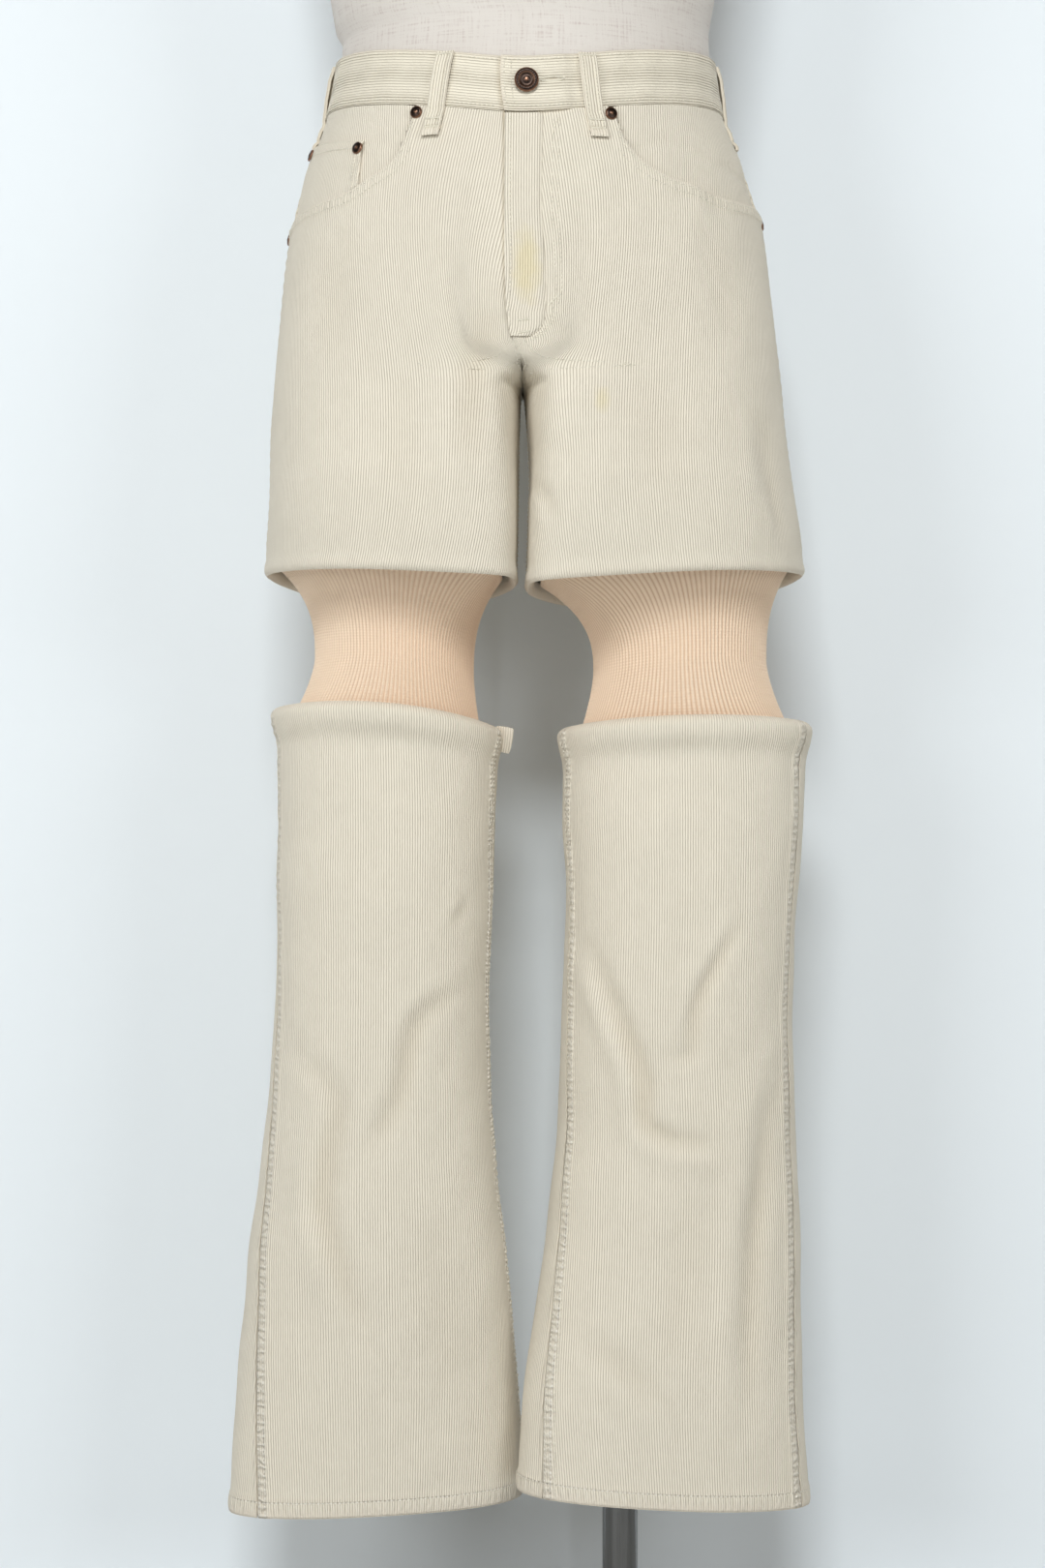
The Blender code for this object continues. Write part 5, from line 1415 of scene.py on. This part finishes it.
for leg in SIDES:
    along, inset = rim_rows(SHIN_TURN, 44)
    rows = np.r_[np.zeros(len(along)), np.linspace(0, 1, 150)[1:] ** 0.9][:, None]
    along, inset = (np.r_[part, np.zeros(len(rows) - len(part))][:, None] for part in (along, inset))
    across = crowded(92, 0.8)[None, :]
    top, foot = SHIN_TOP[leg].front, HEM[leg].front
    for face in ("front", "back"):
        level = top - ROLL_HEIGHT + (foot - top + ROLL_HEIGHT) * rows
        inner, outer_seam = shin_seams(leg, level)
        start, end = (inner, outer_seam) if face == "front" else (outer_seam, inner + 1)
        shares = start + SEAM_SHARE + (end - start - 2 * SEAM_SHARE) * across
        rim = round_edge(SHIN_TOP[leg], shares)
        hem = round_edge(HEM[leg], shares)
        low = rim - ROLL_HEIGHT
        heights = np.where(rows > 0, low + (hem - low) * rows, rim - along)
        outer = shin_cloth(leg, shares, heights, -inset * recess(rim - heights, shares))
        which = np.where(np.mod(shares, 1.0) < 0.5, "front", "back")
        # Painted shade with some dirt in the creases, by their depth, and painted shade in thin dark
        # lines along both seams below the rolled edge and along the top of the hem's fold.
        soil_and_shade = np.clip(creased(SHIN_CREASES, leg, which, outer) / 0.005, 0, 1)
        wear = 0.9 * ridge(heights - hem, 0.004) + 0.35 * ridge(heights - rim, 0.004)
        reach = metres_round(lower_form, leg, shares, heights)
        at_seams = [(shares - start) * reach, (end - shares) * reach]
        soil_and_shade = soil_and_shade + 1.1 * sum(ridge(gap, 0.0007) for gap in at_seams) * (rim - heights > 0.012)
        soil_and_shade = soil_and_shade + 0.6 * ridge(heights - hem - HEM_FOLD, 0.0007)
        seam = np.clip(1 - np.minimum(*at_seams) * 1000 / REACH_OF_SEAM, 0, 1) * (face == "front")
        edge = np.clip(1 - (heights - hem) * 1000 / REACH_OF_SEAM, 0, 1)
        name = "shin_" + face + "_" + leg
        uv = grain(lower_form, leg, shares, heights, 0.25 if face == "front" else 0.75)
        marks = {"wear": wear, "soil_and_shade": soil_and_shade, "seam": seam, "hem": edge}
        made_of_cloth(name + "_cloth", leg, outer, WALL, [name], uv, marks, "hung", "knit_" + leg)
    rows = []
    for away in (ROW_NEAR, ROW_FAR):
        top, low = round_edge(SHIN_TOP[leg], 0.04), round_edge(HEM[leg], 0.0)
        z = np.linspace(top - 0.003, low + 0.002, 260)
        share = shin_seams(leg, z)[0] + away / metres_round(lower_form, leg, 0.04, z)
        rows.append(sewn(shin_cloth, leg, share, z, lift=-shin_inset(leg, share, z)))
    share = np.linspace(0, 1, 240)
    rows.append(sewn(shin_cloth, leg, share, round_edge(HEM[leg], share) + HEM_STITCH))
    stitches("shin_thread_" + leg, rows)

# A small tab of the right inner seam's allowance stands out beside the rolled edge.
out, down = crowded(14, 0.4)[None, :], crowded(16, 0.4)[:, None]
base = skin(lower_form, "right", 0.030 - 0.012 * down, 0.6705 - 0.0180 * down, -0.0006)
curled = -0.0022 * np.sin(2.6 * out)
sideways = joined(0.0120 * out - 0.0040, curled, -0.0018 * out * out + 0 * down)
outer = base + sideways * (1 - 0.25 * down[..., None] ** 3)
outer[..., 1] -= 0.0009 * np.sin(math.pi * down) * np.sin(2 * out)
marks = {"wear": 0.5, "soil_and_shade": 0.2}
made_of_cloth("seam_allowance_cloth", "left", outer, 0.0016, [], marks=marks, on="shin_front_right")


# The waistband: one long strip with its wales running along it, folded over, edge-stitched top and
# bottom, its free end lapped over at the front and worked with a buttonhole.
BAND_WALL, BAND_ANGLES, OVERLAP_ENDS, BAND_PITCH = 0.0026, (-7.5, 368.0), (9.5, 15.0), 0.0021
HOLE_ANGLES, HOLE_DROP = np.array([4.4, 10.4]), 0.0172


def band_end(down):
    """Angle of the strip's free end, which slants and bows a little."""
    slant = BAND_ANGLES[0] + 0.7 + 1.3 * down / BAND_HEIGHT
    return slant - 0.5 * np.sin(math.pi * down / BAND_HEIGHT)


def band_cloth(angle, down, lift=0.0):
    """Points of the waistband's outer face at an angle and a distance below its upper edge."""
    angle, down = both(angle, down)
    raised = ramp(OVERLAP_ENDS[1] - angle, OVERLAP_ENDS[1] - OVERLAP_ENDS[0])
    out = (BAND_WALL + 0.0005) * raised * raised * (3 - 2 * raised) + BAND_WALL - WALL
    edge = np.minimum(down, BAND_HEIGHT - down)
    past_end = angle - band_end(down)
    edge = np.where(angle < 20, np.minimum(edge, 0.0006 + past_end * 0.0025), edge)
    under_end = ridge(angle - 360 - band_end(down) + 0.5, 0.9)
    round_off = -0.0008 * ridge(edge, 0.0009) - 0.0009 * under_end
    pressed = -0.00028 * ridge(edge - 0.0032, 0.0007)
    gathers = 0.00016 * pucker(np.radians(angle) * 0.14, 17.0) * ridge(edge - 0.005, 0.006)
    slow = 0.0004 * np.sin(np.radians(angle) * 9 + 60 * down) * np.sin(np.radians(angle) * 23)
    wale = -0.00024 * np.cos(2 * math.pi * down / BAND_PITCH)
    out = out + round_off + pressed + gathers + slow + wale + lift
    return hip_ring(angle, band_top(angle) - down, out)


down = BAND_HEIGHT * crowded(96, 0.3)[:, None]
part = np.r_[np.linspace(0, 0.012, 12)[:-1], np.linspace(0.012, 0.93, 330)[:-1]]
part = np.r_[part, np.linspace(0.93, 1, 45)]
angle = band_end(down) + (BAND_ANGLES[1] - band_end(down)) * part
outer = band_cloth(angle, down)
# The band's corduroy has deeper painted shade in its grooves.
strip = corduroy("cream_corduroy_band", (0.87, 0.795, 0.655), BAND_PITCH, 0.80, 0.0003)
uv = flat_place(outer, along=True)
# Painted shade in the buttonhole's slit, and a painted shadow on the band just beside the lapped end.
slit = ridge((angle - HOLE_ANGLES.mean()) / 2.9, 1.0) ** 4 * ridge(down - HOLE_DROP, 0.0006)
soil_and_shade = 2.4 * slit + 1.8 * ridge(angle - 360 - band_end(down) + 0.25, 0.40)
wear = 0.6 * ridge(down, 0.002) + 0.8 * ridge(angle - band_end(down), 0.7) * (angle < 20)
sheet = {"uv": uv, "marks": {"soil_and_shade": soil_and_shade, "wear": wear}, "held": "stretched", "on": "torso"}
made_of_cloth("waistband_cloth", "left", outer, BAND_WALL, ["waistband"], stuff=strip, **sheet)
angle = np.linspace(BAND_ANGLES[0] + 1.4, 352.0, 500)
rows = [sewn(band_cloth, angle, away + 0 * angle) for away in (0.0030, BAND_HEIGHT - 0.0030)]
down = np.linspace(0.0040, BAND_HEIGHT - 0.0040, 24)
rows += [sewn(band_cloth, band_end(down) + more, down) for more in (1.1, 3.0)]
stitches("waistband_thread", rows)
turn = np.linspace(0, 2 * math.pi, 60)
ring = HOLE_ANGLES.mean() - 3.4 * np.cos(turn), HOLE_DROP + 0.0014 * np.sin(turn)
stitches("buttonhole_thread", [sewn(band_cloth, *ring)], 0.0006, 0.0021, 0.00035, crosswise=True)


# The belt loops: five narrow strips, sewn on at both ends, with a thick folded foot.
BeltLoop = namedtuple("BeltLoop", "name angle_top angle_low")
BELT_LOOPS = (
    BeltLoop("front_right", -23.2, -24.7),
    BeltLoop("front_left", 17.6, 18.6),
    BeltLoop("side_right", -93.0, -94.0),
    BeltLoop("side_left", 93.0, 94.0),
    BeltLoop("back", 180.0, 180.0),
)
LOOP_WIDTH, LOOP_WALL, LOOP_BELOW_BAND, LOOP_BULGE = 0.0124, 0.0015, 0.021, 0.0022
LOOP_PATH = ((0.0, 0.0), (0.16, 1.0), (0.40, 1.0), (0.60, 0.35), (0.72, 0.0), (1.0, 0.0))


def loop_cloth(loop, across, part, lift=0.0):
    """Points of a belt loop's outer face: it stands off the band as a shallow arch and is folded
    double at its foot, and its edges are rounded."""
    across, part = both(across, part)
    path = np.array(LOOP_PATH)
    bulge = LOOP_BULGE * np.interp(part, path[:, 0], path[:, 1])
    angle = loop.angle_top + (loop.angle_low - loop.angle_top) * part
    top = band_top(angle) - 0.0006
    z = top + (band_top(angle) - BAND_HEIGHT - LOOP_BELOW_BAND - top) * part
    on_band = (BAND_WALL - WALL) * falling(part - 0.66, 0.02)
    folded = 0.0009 * falling(0.74 - part, 0.02)
    foot = (1 - part) * (BAND_HEIGHT + LOOP_BELOW_BAND)
    folded = folded + 0.0011 * ridge(foot - 0.0026, 0.0024) - 0.0010 * ridge(foot - 0.0062, 0.0009)
    edge = (0.5 - np.abs(across)) * LOOP_WIDTH
    raised = 0.0003 * ridge(edge - 0.0016, 0.0011) - 0.0003 * ridge(edge - 0.0033, 0.0006)
    out = 0.0006 + on_band + bulge + LOOP_WALL + folded + raised - 0.0005 * ridge(edge, 0.0009)
    pace = np.linalg.norm(hip_ring(angle + 1, z) - hip_ring(angle - 1, z), axis=-1) / 2
    ribbed = -0.00018 * np.cos(2 * math.pi * across * LOOP_WIDTH / BAND_PITCH)
    return hip_ring(angle + across * LOOP_WIDTH / pace, z, out + ribbed + lift)


across, part = crowded(40, 0.6) - 0.5, crowded(90, 0.3)[:, None]
foot = (1 - part) * (BAND_HEIGHT + LOOP_BELOW_BAND)
edge = (0.5 - np.abs(across)) * LOOP_WIDTH
# Painted shade in the fold line across the foot and in the grooves beside the edges.
soil_and_shade = 1.2 * ridge(foot - 0.0062, 0.0008) + 0.5 * ridge(edge - 0.0033, 0.0005)
wear = 0.8 * ridge(foot - 0.0026, 0.002) + 0.5 * ridge(edge, 0.001)
sheet = {"marks": {"soil_and_shade": soil_and_shade, "wear": wear}, "held": "stretched", "stuff": strip}
run, ends = np.linspace(0.02, 0.98, 60), np.array([-0.42, 0.42])
for loop in BELT_LOOPS:
    name = "belt_loop_" + loop.name
    outer = loop_cloth(loop, across, part)
    made_of_cloth(name + "_cloth", "left", outer, LOOP_WALL, [name], **sheet)
    rows = [sewn(loop_cloth, loop, beside + 0 * run, run) for beside in (-0.31, 0.31)]
    stitches(name + "_thread", rows, 0.0026, 0.0021, 0.0003)
    tacks = [tacked(loop_cloth, loop, ends, np.full(2, at)) for at in (0.035, 0.80, 0.895)]
    stitches(name + "_bartacks", tacks, 0.0005, 0.0018, 0.0003, crosswise=True)


# The button and the rivets: a dark copper shank button with a raised ring and a knurled border, and
# small domed rivets, all plain, through the cloth at the pockets' corners.
copper, tree, shader = principled("dark_copper", (0.06, 0.04, 0.035), 0.33, 1.0)
tarnish = noise(tree, object_place(tree), 700.0, 4.0, 0.6)
dark = mixed(tree, tarnish, (0.010, 0.009, 0.009), (0.060, 0.040, 0.032))
rubbed = node(tree, "ShaderNodeAttribute", attribute_name="rubbed").outputs["Fac"]
shade, matt = mixed(tree, rubbed, dark, (0.46, 0.24, 0.15)), times_plus(tree, tarnish, 0.35, 0.18)
finished(tree, shader, shade, matt, tarnish, strength=0.3, distance=0.0002)


def rub(mesh, radii):
    """Marks the rings where the dark finish is rubbed through, as bells of the radius."""
    points = np.empty(len(mesh.vertices) * 3)
    mesh.vertices.foreach_get("co", points)
    radius = np.hypot(points[0::3], points[1::3])
    value = sum(strength * ridge(radius - middle, width) for middle, width, strength in radii)
    mesh.attributes.new("rubbed", "FLOAT", "POINT").data.foreach_set("value", np.clip(value, 0, 1))


def stood(mesh, point, normal):
    """Turns a solid made about Z so that its axis lies along the normal at a point, in its mesh."""
    turn = Vector(normal).to_track_quat("Z", "Y").to_matrix().to_4x4()
    turn.translation = Vector(point)
    mesh.transform(turn)
    return mesh


BUTTON_ANGLE, BUTTON_Z = 0.4, 1.1013
BUTTON = (
    (0, 0.0037),
    (0.0016, 0.0038),
    (0.0022, 0.0034),
    (0.0044, 0.0033),
    (0.0050, 0.0040),
    (0.0058, 0.0043),
    (0.0069, 0.0042),
    (0.0079, 0.0036),
    (0.0082, 0.0029),
    (0.0081, 0.0022),
    (0.0070, 0.0016),
    (0.0035, 0.0014),
    (0.0035, 0.0),
    (0, 0.0),
)
at = [hip_ring(BUTTON_ANGLE, BUTTON_Z, out)[()] for out in (0.0, 0.01)]
normal = (at[1] - at[0]) / 0.01
mesh = turned("button_metal", BUTTON, 96)
rub(mesh, ((0.0081, 0.0005, 0.75), (0.0050, 0.0004, 0.45), (0.0, 0.0010, 0.6)))
points = np.empty(len(mesh.vertices) * 3)
mesh.vertices.foreach_get("co", points)
points = points.reshape(-1, 3)
radius, around = np.hypot(points[:, 0], points[:, 1]), np.arctan2(points[:, 1], points[:, 0])
knurl = 0.00018 * np.cos(24 * around) * ridge(radius - 0.0062, 0.0008) * (points[:, 2] > 0.003)
points[:, 2] += knurl
mesh.vertices.foreach_set("co", points.reshape(-1))
stand_off = BAND_WALL - WALL + BAND_WALL + 0.0009 + SEAM_GAP
button = piece("button_metal", stood(mesh, at[0] + normal * stand_off, normal), copper)
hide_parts("button")

Rivet = namedtuple("Rivet", "name leg share drop out")
RIVETS = (
    Rivet("pocket_top_right", "right", 0.150, 0.0055, 0.0006),
    Rivet("pocket_top_left", "left", 0.1465, 0.0058, 0.0006),
    Rivet("pocket_side_right", "right", 0.494, 0.0855, 0.0006),
    Rivet("pocket_side_left", "left", 0.494, 0.0750, 0.0006),
    Rivet("coin_front", "right", 0.254, 0.0310, 0.0016),
    Rivet("coin_side", "right", 0.438, 0.0300, 0.0016),
)
RIVET = (
    (0, 0.0014),
    (0.0011, 0.0013),
    (0.0015, 0.0009),
    (0.0024, 0.0010),
    (0.0034, 0.0008),
    (0.0043, 0.0001),
    (0.0043, -0.0006),
    (0, -0.0006),
)
for rivet in RIVETS:
    z = band_bottom(rivet.leg, rivet.share) - rivet.drop
    outs = (rivet.out + 0.0006, 0.0106 + rivet.out)
    at = [skin(upper_form, rivet.leg, rivet.share, z, out) for out in outs]
    normal = (at[1] - at[0]) / 0.01
    mesh = turned("rivet", RIVET, 40)
    rub(mesh, ((0.0042, 0.0005, 0.7), (0.0, 0.0009, 0.9)))
    mesh = stood(mesh, at[0], normal)
    made = piece("rivet_" + rivet.name + "_metal", mesh, copper)
    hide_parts("rivet_" + rivet.name)
